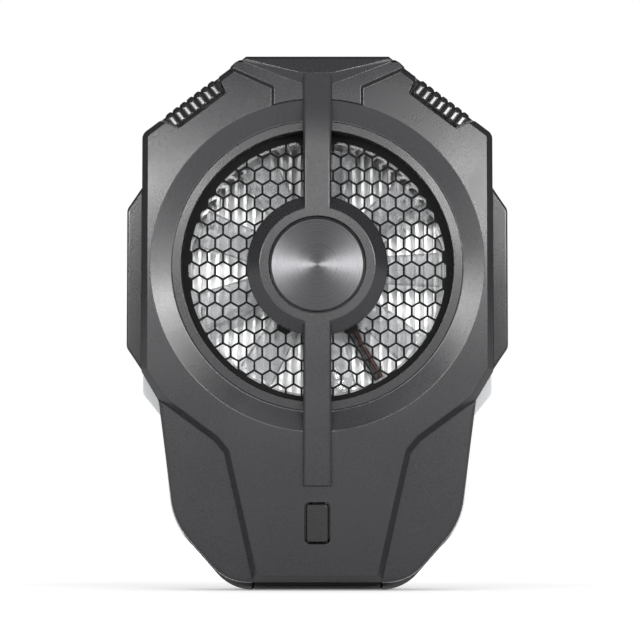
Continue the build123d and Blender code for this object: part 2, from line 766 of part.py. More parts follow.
def rear_cover():
    """Rear shell with its window, arm slots, vents, port and screw columns."""
    face = housing_face()
    shell = lay(face, LIGHT_BACK, REAR_BACK)
    back_rim = [e for e in shell.edges() if abs(e.center().Y - y_at(REAR_BACK)) < FIT]
    shell = fillet(back_rim, REAR_EDGE_R)
    shell -= lay(offset(face, amount=-WALL), LIGHT_BACK - CUT, REAR_INNER)
    for x, z in mirrored_pair(SCREW_PLACES):
        shell += disc(COLUMN_R, LIGHT_BACK + TONGUE_REACH + RUN, REAR_INNER, x, z)
        shell += disc(BOSS_R, BOSS_BACK + FIT, REAR_INNER, x, z)
        shell -= disc(SCREW_R + FIT, BOSS_BACK - CUT, REAR_BACK + CUT, x, z)
        shell -= disc(SCREW_HEAD_R + FIT, HEAD_SEAT - SCREW_HEAD, REAR_BACK + CUT, x, z)
    for x, z in lug_places():
        shell += disc(LUG_R, SINK_BACK, REAR_INNER, x, z)
    window = [length + 2 * RUN for length in COLD_PLATE_SIZE]
    shell -= plate(window, (0, CHIP_HEIGHT), REAR_INNER - CUT, REAR_BACK + CUT, COLD_PLATE_R + RUN)
    half = PORT_WIDTH / 2
    shell -= block((-half, half), (-CUT, BOARD_TAB_FOOT), LIGHT_BACK - CUT, FRONT_BACK + PORT_DEPTH)
    for side in (-1, 1):
        rails = [guide_range(), rack_body_range(side)]
        for low, high in rails:
            x_range = sorted((side * (HALF_WIDTH - WALL - CUT), side * (HALF_WIDTH + CUT)))
            shell -= block(x_range, (low - RUN, high + RUN), RAIL_FRONT - RUN, REAR_INNER)
    shell += disc(SPRING_POST_R, RAIL_FRONT, REAR_INNER + FIT, SPRING_POST_PLACE, PINION_HEIGHT)
    shell -= disc(pin_radius() + PINION_RUN / 2, RAIL_FRONT, REAR_INNER + PIN_SUNK, 0, PINION_HEIGHT)
    vent_front = (LIGHT_BACK + REAR_BACK - VENT_LENGTH) / 2
    for number in range(VENT_COUNT):
        x = (number - (VENT_COUNT - 1) / 2) * VENT_PITCH
        x_range = (x - VENT_WIDTH / 2, x + VENT_WIDTH / 2)
        z_range = (vent_foot(), BODY_HEIGHT + CUT)
        shell -= block(x_range, z_range, vent_front, vent_front + VENT_LENGTH)
    return shell


def vent_foot():
    """Height at which the top vents start, over the heat sink."""
    return FAN_HEIGHT + SINK_WIDTH / 2 + SEAT


def pin_radius():
    """Radius of the pinion's pin."""
    return PINION_BORE_R - PINION_RUN


def port_plate():
    """Black plate in the bottom opening, with the socket's slot."""
    front = FRONT_BACK + PORT_GAP
    back = FRONT_BACK + PORT_DEPTH - PORT_GAP
    half = PORT_WIDTH / 2 - PORT_GAP
    solid = block((-half, half), (PORT_LIFT, PORT_LIFT + PORT_THICKNESS), front, back)
    slot_half = SOCKET_WIDTH / 2 + FIT
    slot_front = SOCKET_FRONT - FIT
    slot_back = SOCKET_FRONT + SOCKET_DEPTH + FIT
    return solid - block((-slot_half, slot_half), (-CUT, PORT_THICKNESS + CUT), slot_front, slot_back)


def upright(shape, foot, height, depth):
    """Solid of a flat shape seen from below, centred on X at a depth, from its foot up."""
    plane = Plane(origin=(0, y_at(depth), foot), x_dir=(1, 0, 0), z_dir=(0, 0, 1))
    return extrude(plane * shape, amount=height)


def socket_centre():
    """Depth of the middle of the charging socket."""
    return SOCKET_FRONT + SOCKET_DEPTH / 2


def usb_socket():
    """Metal shell of the charging socket, closed at its inner end."""
    outer = RectangleRounded(SOCKET_WIDTH, SOCKET_DEPTH, SOCKET_R)
    inner = offset(outer, amount=-SOCKET_WALL)
    solid = upright(outer, SOCKET_INSET, SOCKET_LENGTH, socket_centre())
    return solid - upright(inner, SOCKET_INSET - CUT, SOCKET_LENGTH + CUT - SOCKET_WALL, socket_centre())


def usb_tongue():
    """Contact tongue in the middle of the socket, on its base block."""
    shell_inner = [SOCKET_WIDTH - 2 * SOCKET_WALL - FIT, SOCKET_DEPTH - 2 * SOCKET_WALL - FIT]
    top = SOCKET_INSET + SOCKET_LENGTH - SOCKET_WALL
    base_foot = top - TONGUE_INSET
    base = RectangleRounded(*shell_inner, SOCKET_R - SOCKET_WALL - FIT / 2)
    solid = upright(base, base_foot, top - base_foot, socket_centre())
    blade = Rectangle(TONGUE_WIDTH, TONGUE_DEPTH)
    foot = SOCKET_INSET + TONGUE_INSET
    return solid + upright(blade, foot, base_foot - foot, socket_centre())


def main_board():
    """Circuit board across the lower body, narrower at its foot, with the socket's tab."""
    right = [
        (BOARD_WIDTH / 2, BOARD_TOP),
        (BOARD_WIDTH / 2, BOARD_WAIST),
        (BOARD_WAIST_WIDTH / 2, BOARD_WAIST),
        (BOARD_WAIST_WIDTH / 2, BOARD_FOOT),
        (BOARD_TAB_WIDTH / 2, BOARD_FOOT),
        (BOARD_TAB_WIDTH / 2, BOARD_TAB_FOOT),
    ]
    board = slab(both_sides(right), BOARD_FRONT, BOARD_BACK)
    for x, z in mirrored_pair(BOARD_POSTS):
        board -= disc(BOARD_SCREW_R + FIT, BOARD_FRONT - CUT, BOARD_BACK + CUT, x, z)
    return board


def screw(radius, head_radius, head, length, seat, x, z):
    """Screw driven from the back: its head lies behind the seat and its shank before it."""
    shank = disc(radius, seat + head - length, seat + head / 2, x, z)
    top = disc(head_radius, seat, seat + head, x, z)
    slot_front = seat + head - SCREW_SLOT
    cross = plate((SCREW_SLOT_R * 2, SCREW_SLOT_R / 2), (x, z), slot_front, seat + head + CUT)
    cross += plate((SCREW_SLOT_R / 2, SCREW_SLOT_R * 2), (x, z), slot_front, seat + head + CUT)
    return shank + top - cross


def board_screws():
    """Screws that hold the board on its posts."""
    return [
        screw(BOARD_SCREW_R, BOARD_SCREW_HEAD_R, BOARD_SCREW_HEAD, BOARD_SCREW_LENGTH, BOARD_BACK, x, z)
        for x, z in mirrored_pair(BOARD_POSTS)
    ]


def case_screws():
    """Screws that join the rear cover to the front cover."""
    seat = HEAD_SEAT - SCREW_HEAD
    return [
        screw(SCREW_R, SCREW_HEAD_R, SCREW_HEAD, SCREW_LENGTH, seat, x, z)
        for x, z in mirrored_pair(SCREW_PLACES)
    ]


def control_chips():
    """Controller and power chips on the back of the board."""
    return [plate(size, place, BOARD_BACK, BOARD_BACK + height) for size, place, height in CHIPS]


def board_capacitors():
    """Round capacitors that lie on their backs' base on the board."""
    return [disc(CAPACITOR_R, BOARD_BACK, BOARD_BACK + CAPACITOR_LENGTH, x, z) for x, z in CAPACITOR_PLACES]


def leds():
    """Small lamps along the board's edges that light the clear frame."""
    aside = BOARD_WIDTH / 2 - LED_SIZE[0] / 2 - FIT
    heights = [BOARD_WAIST + share * (BOARD_TOP - BOARD_WAIST) for share in LED_SHARES]
    places = mirrored_pair([(aside, height) for height in heights])
    return [plate(LED_SIZE, place, BOARD_BACK, BOARD_BACK + LED_DEPTH) for place in places]


def lead_connectors():
    """Two plugs on the board for the fan's and the chip's leads."""
    width, height, depth = CONNECTOR_SIZE
    return [
        plate((width, height), place, BOARD_BACK, BOARD_BACK + depth)
        for place in CONNECTOR_PLACES
    ]


def lug_places():
    """Places of the fan's four lugs and of the posts and columns behind them."""
    return mirrored_pair([(LUG_OFFSET, FAN_HEIGHT - LUG_OFFSET), (LUG_OFFSET, FAN_HEIGHT + LUG_OFFSET)])


def fan_frame():
    """Clear ring with its struts, motor base, bearing tube and screw lugs."""
    frame = ring(FAN_RING_R, FAN_RING_R - FAN_RING_WALL, FAN_FRONT, FAN_BACK)
    frame += disc(FAN_BASE_R, FAN_BASE_FRONT, FAN_BACK)
    strut_front = FAN_BASE_FRONT - LEAD_GROOVE / 2 + FIT
    for number in range(STRUT_COUNT):
        angle = STRUT_ANGLE + number * 360 / STRUT_COUNT
        frame += spoke(angle, FAN_BASE_R - CUT, FAN_RING_R - FIT, STRUT_WIDTH, strut_front, FAN_BACK)
    lug_front = FAN_BACK - LUG_DEPTH
    for x, z in lug_places():
        angle = math.degrees(math.atan2(z - FAN_HEIGHT, x))
        frame += spoke(angle, FAN_RING_R - FAN_RING_WALL / 2, LUG_REACH, 2 * LUG_R, lug_front, FAN_BACK)
        frame += disc(LUG_R, lug_front, FAN_BACK, x, z)
        frame -= disc(FAN_SCREW_R + FIT, lug_front - CUT, FAN_BACK + CUT, x, z)
    start = FAN_BOARD_R - CUT
    end = FAN_RING_R + CUT
    groove_back = strut_front + LEAD_GROOVE
    frame -= spoke(STRUT_ANGLE, start, end, LEAD_GROOVE_WIDTH, strut_front - FIT, groove_back)
    frame += disc(TUBE_R, STATOR_FRONT - FIT, FAN_BACK)
    return frame - disc(BEARING_R + FIT / 2, STATOR_FRONT - CUT, FAN_BACK + CUT)


def fan_bearing():
    """Sleeve bearing in the frame's tube."""
    return ring(BEARING_R, SHAFT_R + SHAFT_RUN, STATOR_FRONT - FIT, FAN_BACK)


def blade():
    """One clear blade, curved across its chord and flatter towards its tip."""
    middle = (ROTOR_FRONT + ROTOR_BACK) / 2
    stations = [
        (ROTOR_R - ROTOR_WALL / 2, BLADE_CHORD, BLADE_ANGLE),
        (BLADE_TIP_R, BLADE_TIP_CHORD, BLADE_TIP_ANGLE),
    ]
    sections = []
    for radius, chord, angle in stations:
        along = Vector(math.cos(math.radians(angle)), math.sin(math.radians(angle)))
        across = Vector(-along.Y, along.X)
        half = BLADE_THICKNESS / 2
        ends = [along * (side * chord / 2) + across * half for side in (-1, 1)]
        front = [ends[0], across * (BLADE_CAMBER + half), ends[1]]
        back = [point - across * BLADE_THICKNESS for point in reversed(front)]
        corners = [(radius, y_at(middle) + p.Y, FAN_HEIGHT + p.X) for p in front + back]
        sections.append(Wire.make_polygon(corners, close=True))
    return Solid.make_loft(sections, True)


def fan_impeller():
    """Clear rotor cup with its blades round it."""
    cup = disc(ROTOR_R, ROTOR_FRONT, ROTOR_FRONT + ROTOR_WALL)
    cup += ring(ROTOR_R, ROTOR_R - ROTOR_WALL, ROTOR_FRONT, ROTOR_BACK)
    blades = [turned(blade(), number * 360 / BLADE_COUNT) for number in range(BLADE_COUNT)]
    return cup.fuse(*blades) - disc(ROTOR_R - ROTOR_WALL, ROTOR_FRONT + ROTOR_WALL, ROTOR_BACK + CUT)


def rotor_yoke():
    """Steel cup inside the rotor that closes the magnet's field and holds the shaft."""
    outer = ROTOR_R - ROTOR_WALL - FIT / 2
    front = ROTOR_FRONT + ROTOR_WALL
    cup = ring(outer, SHAFT_R, front, front + YOKE_WALL)
    return cup + ring(outer, outer - YOKE_WALL, front, ROTOR_BACK - RUN)


def rotor_magnet():
    """Ring magnet inside the yoke."""
    outer = ROTOR_R - ROTOR_WALL - FIT / 2 - YOKE_WALL
    front = ROTOR_FRONT + ROTOR_WALL + YOKE_WALL + FIT
    return ring(outer, outer - MAGNET_WALL, front, ROTOR_BACK - RUN)


def fan_shaft():
    """Steel shaft fixed in the yoke, which turns in the bearing."""
    return disc(SHAFT_R, ROTOR_FRONT + ROTOR_WALL, FAN_BACK - SEAT)


def stator_core():
    """Laminated core with four poles on the bearing tube."""
    back = STATOR_FRONT + CORE_DEPTH
    core = ring(CORE_HUB_R, TUBE_R + FIT / 2, STATOR_FRONT, back)
    shoes = ring(STATOR_R, STATOR_R - POLE_SHOE, STATOR_FRONT, back)
    for number in range(POLE_COUNT):
        angle = 360 * number / POLE_COUNT
        core += spoke(angle, CORE_HUB_R - FIT, STATOR_R - POLE_SHOE / 2, POLE_WIDTH, STATOR_FRONT, back)
        slot_angle = angle + 180 / POLE_COUNT
        shoes -= spoke(slot_angle, 0, STATOR_R + CUT, POLE_GAP, STATOR_FRONT - CUT, back + CUT)
    return core + shoes


def stator_coils():
    """Copper winding round each pole, as a closed ring of wire."""
    back = STATOR_FRONT + CORE_DEPTH
    start = CORE_HUB_R + FIT
    width = POLE_WIDTH + 2 * (COIL_WALL + FIT)
    end = math.sqrt((STATOR_R - POLE_SHOE) ** 2 - (width / 2) ** 2) - FIT
    coils = []
    for number in range(POLE_COUNT):
        angle = 360 * number / POLE_COUNT
        coil = spoke(angle, start, end, width, STATOR_FRONT - COIL_WALL, back + COIL_WALL)
        hole = POLE_WIDTH + 2 * FIT
        coils.append(coil - spoke(angle, 0, end + CUT, hole, STATOR_FRONT - FIT, back + FIT))
    return coils


def fan_board():
    """Ring of circuit board on the motor base that the coils are soldered to."""
    return ring(FAN_BOARD_R, TUBE_R + FIT, FAN_BASE_FRONT - FAN_BOARD_THICKNESS, FAN_BASE_FRONT)


def fan_screws():
    """Screws through the fan's lugs into the heat sink's posts, driven from the front."""
    seat = FAN_BACK - LUG_DEPTH
    screws = []
    for x, z in lug_places():
        solid = disc(FAN_SCREW_HEAD_R, seat - FAN_SCREW_HEAD, seat, x, z)
        solid += disc(FAN_SCREW_R, seat - FAN_SCREW_HEAD / 2, seat + FAN_SCREW_LENGTH, x, z)
        groove_back = seat - FAN_SCREW_HEAD + SCREW_SLOT
        groove = plate((SCREW_SLOT_R * 2, SCREW_SLOT_R / 2), (x, z), seat - FAN_SCREW_HEAD - CUT, groove_back)
        screws.append(solid - groove)
    return screws


def heat_sink():
    """Aluminium base with a comb of upright fins and four screw posts."""
    count = int(SINK_WIDTH / FIN_PITCH)
    half = SINK_WIDTH / 2
    section = [(half, y_at(SINK_BACK)), (-half, y_at(SINK_BACK))]
    first = -FIN_PITCH * count / 2
    for number in range(count + 1):
        left = max(first + number * FIN_PITCH - FIN_THICKNESS / 2, -half)
        right = min(first + number * FIN_PITCH + FIN_THICKNESS / 2, half)
        section += [
            (left, y_at(SINK_BASE_FRONT)),
            (left, y_at(SINK_FRONT)),
            (right, y_at(SINK_FRONT)),
            (right, y_at(SINK_BASE_FRONT)),
        ]
    foot = Plane.XY.offset(FAN_HEIGHT - half)
    section = [point for number, point in enumerate(section) if point != section[number - 1]]
    sink = extrude(foot * make_face(Polyline(*section, close=True)), amount=SINK_WIDTH)
    for x, z in lug_places():
        sink += plate((SINK_POST, SINK_POST), (x, z), FAN_BACK, SINK_BACK)
        hole_back = FAN_BACK - LUG_DEPTH + FAN_SCREW_LENGTH + FIT
        sink -= disc(FAN_SCREW_R + FIT / 2, FAN_BACK - CUT, hole_back, x, z)
    for x, z in plate_screw_places():
        sink -= disc(PLATE_SCREW_R + FIT / 2, plate_screw_tip() - FIT, SINK_BACK + CUT, x, z)
    return sink


def plate_screw_places():
    """Places of the cold plate's screws."""
    x, rise = PLATE_SCREWS
    return mirrored_pair([(x, CHIP_HEIGHT - rise), (x, CHIP_HEIGHT + rise)])


def plate_screw_tip():
    """Depth of the front ends of the cold plate's screws."""
    return COLD_PLATE_BACK - PLATE_SCREW_LENGTH


def hot_ceramic():
    """Ceramic plate of the cooling chip on the heat sink's side."""
    return plate((CHIP_SIZE, CHIP_SIZE), (0, CHIP_HEIGHT), SINK_BACK, SINK_BACK + CERAMIC)


def cold_ceramic():
    """Ceramic plate of the cooling chip on the phone's side."""
    return plate((CHIP_SIZE, CHIP_SIZE), (0, CHIP_HEIGHT), CHIP_BACK - CERAMIC, CHIP_BACK)


def chip_pellets():
    """Square grid of semiconductor pellets between the ceramics."""
    pellets = []
    for row in range(PELLET_COUNT):
        for column in range(PELLET_COUNT):
            x = (column - (PELLET_COUNT - 1) / 2) * PELLET_PITCH
            z = CHIP_HEIGHT + (row - (PELLET_COUNT - 1) / 2) * PELLET_PITCH
            size = (PELLET_SIZE, PELLET_SIZE)
            pellets.append(plate(size, (x, z), SINK_BACK + CERAMIC, CHIP_BACK - CERAMIC))
    return pellets


def chip_foam():
    """Foam frame round the chip, with a notch that lets its leads out."""
    gap = CHIP_SIZE + FIT
    frame = plate(FOAM_SIZE, (0, CHIP_HEIGHT), SINK_BACK, CHIP_BACK - FIT)
    frame -= plate((gap, gap), (0, CHIP_HEIGHT), SINK_BACK - CUT, CHIP_BACK + CUT)
    notch = LEAD_SPACING + 2 * LEAD_R + RUN
    low = CHIP_LEAD_HEIGHT - notch / 2
    return frame - block((0, FOAM_SIZE[0]), (low, low + notch), SINK_BACK + CERAMIC, CHIP_BACK - CERAMIC)


def cold_plate():
    """Aluminium plate that draws heat from the phone, with countersunk screw places."""
    solid = plate(COLD_PLATE_SIZE, (0, CHIP_HEIGHT), CHIP_BACK, COLD_PLATE_BACK, COLD_PLATE_R)
    for x, z in plate_screw_places():
        solid -= disc(PLATE_SCREW_R + FIT, CHIP_BACK - CUT, COLD_PLATE_BACK + CUT, x, z)
        seat = COLD_PLATE_BACK - PLATE_SCREW_HEAD
        solid -= disc(PLATE_SCREW_HEAD_R + FIT, seat, COLD_PLATE_BACK + CUT, x, z)
    return solid


def cold_plate_screws():
    """Screws that draw the cold plate and the chip against the heat sink."""
    seat = COLD_PLATE_BACK - PLATE_SCREW_HEAD
    return [
        screw(PLATE_SCREW_R, PLATE_SCREW_HEAD_R, PLATE_SCREW_HEAD, PLATE_SCREW_LENGTH, seat, x, z)
        for x, z in plate_screw_places()
    ]


def thermal_pad():
    """Soft pad on the cold plate that the phone's back rests on."""
    return plate(PAD_SIZE, (0, CHIP_HEIGHT), COLD_PLATE_BACK, PAD_BACK, COLD_PLATE_R)


def guide_range():
    """Lowest and highest point of the plain upper rails."""
    return (GUIDE_HEIGHT - GUIDE_RAIL / 2, GUIDE_HEIGHT + GUIDE_RAIL / 2)


def rack_body_range(side):
    """Lowest and highest point of a rack's rail: the left one lies over the pinion."""
    root = PINION_R + DEDENDUM
    near_edge = PINION_HEIGHT - side * root
    far_edge = near_edge - side * RACK_RAIL
    return (min(near_edge, far_edge), max(near_edge, far_edge))


def rack(side):
    """Toothed rail of one arm, with a gap over the pinion's axis at rest."""
    root = PINION_HEIGHT - side * (PINION_R + DEDENDUM)
    tip = PINION_HEIGHT - side * (PINION_R - ADDENDUM)
    far_edge = root - side * RACK_RAIL
    slant = math.tan(math.radians(PRESSURE_ANGLE))
    half_root = TOOTH_PITCH / 4 + DEDENDUM * slant
    half_tip = TOOTH_PITCH / 4 - ADDENDUM * slant
    inner_end = -side * (ARM_TRAVEL + RACK_LEAD)
    points = [(side * JAW_INNER, far_edge), (inner_end, far_edge), (inner_end, root)]
    count = int((ARM_TRAVEL + RACK_LEAD + RACK_LEAD) / TOOTH_PITCH)
    first = -int((ARM_TRAVEL + RACK_LEAD) / TOOTH_PITCH)
    tooth = [(-half_root, root), (-half_tip, tip), (half_tip, tip), (half_root, root)]
    for number in range(first, first + count):
        centre = number * TOOTH_PITCH + TOOTH_PITCH / 2
        points += [(side * (centre + across), height) for across, height in tooth]
    points.append((side * JAW_INNER, root))
    return slab(points, RAIL_FRONT, RAIL_BACK)


def clamp_arm(side):
    """Arm with its jaw beside the body, its hook, its plain rail and its rack."""
    jaw_points = [
        (side * JAW_INNER, JAW_TOP),
        (side * JAW_OUTER, JAW_TOP - JAW_CHAMFER),
        (side * JAW_OUTER, JAW_BOTTOM + JAW_CHAMFER),
        (side * JAW_INNER, JAW_BOTTOM),
    ]
    jaw = slab(jaw_points, FRONT_BACK + SEAT, TOTAL_DEPTH, [0, JAW_R, JAW_R, 0])
    outer_rim = [
        e
        for e in jaw.edges()
        if abs(e.center().Y - y_at(FRONT_BACK + SEAT)) < FIT and abs(e.center().X) > JAW_INNER + FIT
    ]
    jaw = fillet(outer_rim, JAW_EDGE_R)
    recess = (JAW_BOTTOM + JAW_PAD_MARGIN - FIT, JAW_TOP - JAW_PAD_MARGIN + FIT)
    pad_side = sorted((side * (JAW_INNER - CUT), side * (pad_inner() + JAW_PAD)))
    jaw -= block(pad_side, recess, PAD_BACK - RUN, HOOK_FRONT)
    tip = pad_inner() - HOOK_REACH
    hook_points = [
        (side * (JAW_INNER + FIT), JAW_TOP - JAW_CHAMFER),
        (side * JAW_INNER, JAW_TOP - JAW_CHAMFER),
        (side * tip, JAW_TOP - 2 * JAW_CHAMFER),
        (side * tip, JAW_BOTTOM + 2 * JAW_CHAMFER),
        (side * JAW_INNER, JAW_BOTTOM + JAW_CHAMFER),
        (side * (JAW_INNER + FIT), JAW_BOTTOM + JAW_CHAMFER),
    ]
    hook = slab(hook_points, HOOK_FRONT, TOTAL_DEPTH, [0, 0, JAW_EDGE_R, JAW_EDGE_R, 0, 0])
    rail_x = sorted((side * GUIDE_END, side * (JAW_INNER + FIT)))
    arm = jaw + hook + block(rail_x, guide_range(), RAIL_FRONT, RAIL_BACK)
    root_x = sorted((side * (JAW_INNER - FIT), side * (JAW_INNER + FIT)))
    arm += rack(side) + block(root_x, rack_body_range(side), RAIL_FRONT, RAIL_BACK)
    if side < 0:
        tab_top = rack_body_range(side)[0] + FIT
        tab_x = (SPRING_TAB_PLACE - SPRING_TAB_WIDTH / 2, SPRING_TAB_PLACE + SPRING_TAB_WIDTH / 2)
        arm += block(tab_x, (tab_top - SPRING_TAB_DROP, tab_top), RAIL_FRONT, RAIL_BACK)
    return arm


def pad_inner():
    """Distance from the middle to a jaw pad's face: the narrowest phone's half width."""
    return HALF_WIDTH + RUN


def jaw_pad(side):
    """Soft pad in a jaw's recess that touches the phone's side."""
    x_range = sorted((side * pad_inner(), side * (pad_inner() + JAW_PAD)))
    z_range = (JAW_BOTTOM + JAW_PAD_MARGIN, JAW_TOP - JAW_PAD_MARGIN)
    return block(x_range, z_range, PAD_BACK + RUN, HOOK_FRONT)


def sync_pinion():
    """Small gear between the two racks, with involute flanks."""
    base_r = PINION_R * math.cos(math.radians(PRESSURE_ANGLE))
    tip_r = PINION_R + ADDENDUM
    root_r = PINION_R - DEDENDUM

    def involute(angle):
        return math.tan(angle) - angle

    half_at_pitch = (TOOTH_PITCH / 2 - BACKLASH) / 2 / PINION_R + involute(math.radians(PRESSURE_ANGLE))
    radii = [base_r + (tip_r - base_r) * share for share in FLANK_SHARES]
    flank = [(r, half_at_pitch - involute(math.acos(min(1, base_r / r)))) for r in radii]
    flank.insert(0, (root_r, flank[0][1]))
    tooth = [(r, -turn) for r, turn in flank] + [(r, turn) for r, turn in reversed(flank)]
    points = []
    for number in range(PINION_TEETH):
        middle = math.pi / 2 + number * 2 * math.pi / PINION_TEETH
        points += [
            (r * math.cos(middle + turn), PINION_HEIGHT + r * math.sin(middle + turn)) for r, turn in tooth
        ]
    bore = disc(PINION_BORE_R, RAIL_FRONT - CUT, RAIL_BACK + CUT, 0, PINION_HEIGHT)
    return slab(points, RAIL_FRONT, RAIL_BACK) - bore


def pinion_pin():
    """Steel pin in the rear cover that the pinion turns on."""
    return disc(pin_radius(), RAIL_FRONT - FIT, REAR_INNER + PIN_SUNK, 0, PINION_HEIGHT)


def clamp_spring():
    """Tension spring from the rear cover's post to the left arm's tab, which draws the arms in."""
    start = SPRING_TAB_PLACE + SPRING_TAB_WIDTH / 2 + SPRING_WIRE_R + FIT / 2
    length = SPRING_POST_PLACE - SPRING_POST_R - SPRING_WIRE_R - FIT / 2 - start
    middle = y_at((RAIL_FRONT + RAIL_BACK) / 2)
    mean_r = SPRING_R - SPRING_WIRE_R
    path = Helix(length / SPRING_TURNS, length, mean_r)
    section = Plane(origin=path @ 0, z_dir=path % 0) * Circle(SPRING_WIRE_R)
    coil = sweep(section, path, is_frenet=True)
    place = Plane(origin=(start, middle, PINION_HEIGHT), x_dir=(0, 0, 1), z_dir=(1, 0, 0))
    return place * coil


def lead(points):
    """Round lead along straight runs joined by arcs as large as the runs allow."""
    corners = [Vector(*point) for point in points]
    radii = []
    for before, here, after in zip(corners, corners[1:], corners[2:]):
        turn = math.radians((here - before).get_angle(after - here))
        shorter = min((here - before).length, (after - here).length)
        radii.append(LEAD_BEND_SHARE * shorter / math.tan(turn / 2))
    path = FilletPolyline(*corners, radius=radii)
    section = Plane(origin=path @ 0, z_dir=path % 0) * Circle(LEAD_R)
    solid = sweep(section, path)
    print("lead bend radii", [round(radius, 1) for radius in radii])
    return solid


def plug_depth():
    """Depth at which the leads enter the plugs."""
    return BOARD_BACK + CONNECTOR_SIZE[2] / 2


def fan_lead(side):
    """Lead from the fan's board, along the strut's groove, down to its plug."""
    depth = FAN_BASE_FRONT + LEAD_GROOVE / 2 + FIT / 2 - LEAD_R
    angle = math.radians(STRUT_ANGLE)
    along = Vector(math.cos(angle), math.sin(angle))
    aside = Vector(-along.Y, along.X) * (side * LEAD_SPACING / 2)
    start = along * (FAN_BOARD_R + RUN) + aside
    out = along * (FAN_RING_R + LEAD_EXIT + side * LEAD_SPACING / 2) + aside
    plug_x, plug_z = CONNECTOR_PLACES[0]
    plug = plug_x + side * LEAD_SPACING / 2
    plug_top = plug_z + CONNECTOR_SIZE[1] / 2
    return lead(
        [
            (start.X, y_at(depth), FAN_HEIGHT + start.Y),
            (out.X, y_at(depth), FAN_HEIGHT + out.Y),
            (plug, y_at(plug_depth()), plug_top + LEAD_DROP - side * LEAD_SPACING / 2),
            (plug, y_at(plug_depth()), plug_top),
        ]
    )


def chip_lead(side):
    """Lead from the chip, round the heat sink's right side, to its plug; the upper one is in front."""
    inner = (1 - side) / 2
    start_depth = SINK_BACK + CERAMIC + PELLET_DEPTH / 2
    height = CHIP_LEAD_HEIGHT + side * LEAD_SPACING / 2
    depth = SINK_FRONT + CHIP_LEAD_SINK + inner * LEAD_SPACING
    aside = SINK_WIDTH / 2 + CHIP_LEAD_ASIDE
    foot = BOARD_TOP + CHIP_LEAD_RISE - inner * LEAD_STEP
    plug_x, plug_z = CONNECTOR_PLACES[1]
    plug = plug_x - side * LEAD_SPACING / 2
    plug_top = plug_z + CONNECTOR_SIZE[1] / 2
    drop = LEAD_DROP + (1 - inner) * LEAD_STEP
    return lead(
        [
            (CHIP_SIZE / 2 + RUN, y_at(start_depth), height),
            (aside, y_at(start_depth), height),
            (aside, y_at(depth), height),
            (aside, y_at(depth), foot),
            (plug, y_at(plug_depth()), plug_top + drop),
            (plug, y_at(plug_depth()), plug_top),
        ]
    )


def write(node, shape):
    """Write one node's solids to its file and report them."""
    solids = []
    for piece in shape if isinstance(shape, list) else [shape]:
        solids += piece.solids()
    whole = solids[0] if len(solids) == 1 else Compound(children=solids)
    export_step(whole, f"parts/{node}.step")
    box = whole.bounding_box()
    size = [round(value, 2) for value in (box.size.X, box.size.Y, box.size.Z)]
    print(f"{node}: {len(solids)} solids, volume {sum(s.volume for s in solids):.1f}, size {size}")


def main():
    """Build every node and write it."""
    os.makedirs("parts", exist_ok=True)
    nodes = {
        "front_cover": front_cover,
        "grille_net": grille_net,
        "hub_disc": hub_disc,
        "left_grip": left_grip,
        "right_grip": right_grip,
        "power_button": power_button,
        "switch_plunger": switch_plunger,
        "tact_switch": tact_switch,
        "light_frame": light_frame,
        "rear_cover": rear_cover,
        "port_plate": port_plate,
        "usb_socket": usb_socket,
        "usb_tongue": usb_tongue,
        "main_board": main_board,
        "control_chips": control_chips,
        "board_capacitors": board_capacitors,
        "leds": leds,
        "lead_connectors": lead_connectors,
        "board_screws": board_screws,
        "case_screws": case_screws,
        "fan_frame": fan_frame,
        "fan_impeller": fan_impeller,
        "fan_shaft": fan_shaft,
        "fan_bearing": fan_bearing,
        "rotor_yoke": rotor_yoke,
        "rotor_magnet": rotor_magnet,
        "stator_core": stator_core,
        "stator_coils": stator_coils,
        "fan_board": fan_board,
        "fan_screws": fan_screws,
        "heat_sink": heat_sink,
        "hot_ceramic": hot_ceramic,
        "chip_pellets": chip_pellets,
        "cold_ceramic": cold_ceramic,
        "chip_foam": chip_foam,
        "cold_plate": cold_plate,
        "cold_plate_screws": cold_plate_screws,
        "thermal_pad": thermal_pad,
        "sync_pinion": sync_pinion,
        "pinion_pin": pinion_pin,
        "clamp_spring": clamp_spring,
    }
    for node, make in nodes.items():
        write(node, make())
    for name, side in (("supply", 1), ("return", -1)):
        write(f"fan_{name}_lead", fan_lead(side))
        write(f"chip_{name}_lead", chip_lead(side))
    for name, side in (("left", -1), ("right", 1)):
        write(f"{name}_arm", clamp_arm(side))
        write(f"{name}_jaw_pad", jaw_pad(side))


main()
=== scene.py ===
# %% [markdown]
# A phone cooling fan stands on its bottom end in front of a white ground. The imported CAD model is
# the frame: it gives every piece its place and its size in metres. This script dresses that
# frame: it softens the moulded edges, makes the turned disc, the ribbed grips, the soft pads and
# the spring anew, and gives each surface a finish built from shader nodes.

# %% Load the frame
import bpy
import bmesh
import json
import math
import numpy as np
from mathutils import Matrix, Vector
from mathutils.bvhtree import BVHTree


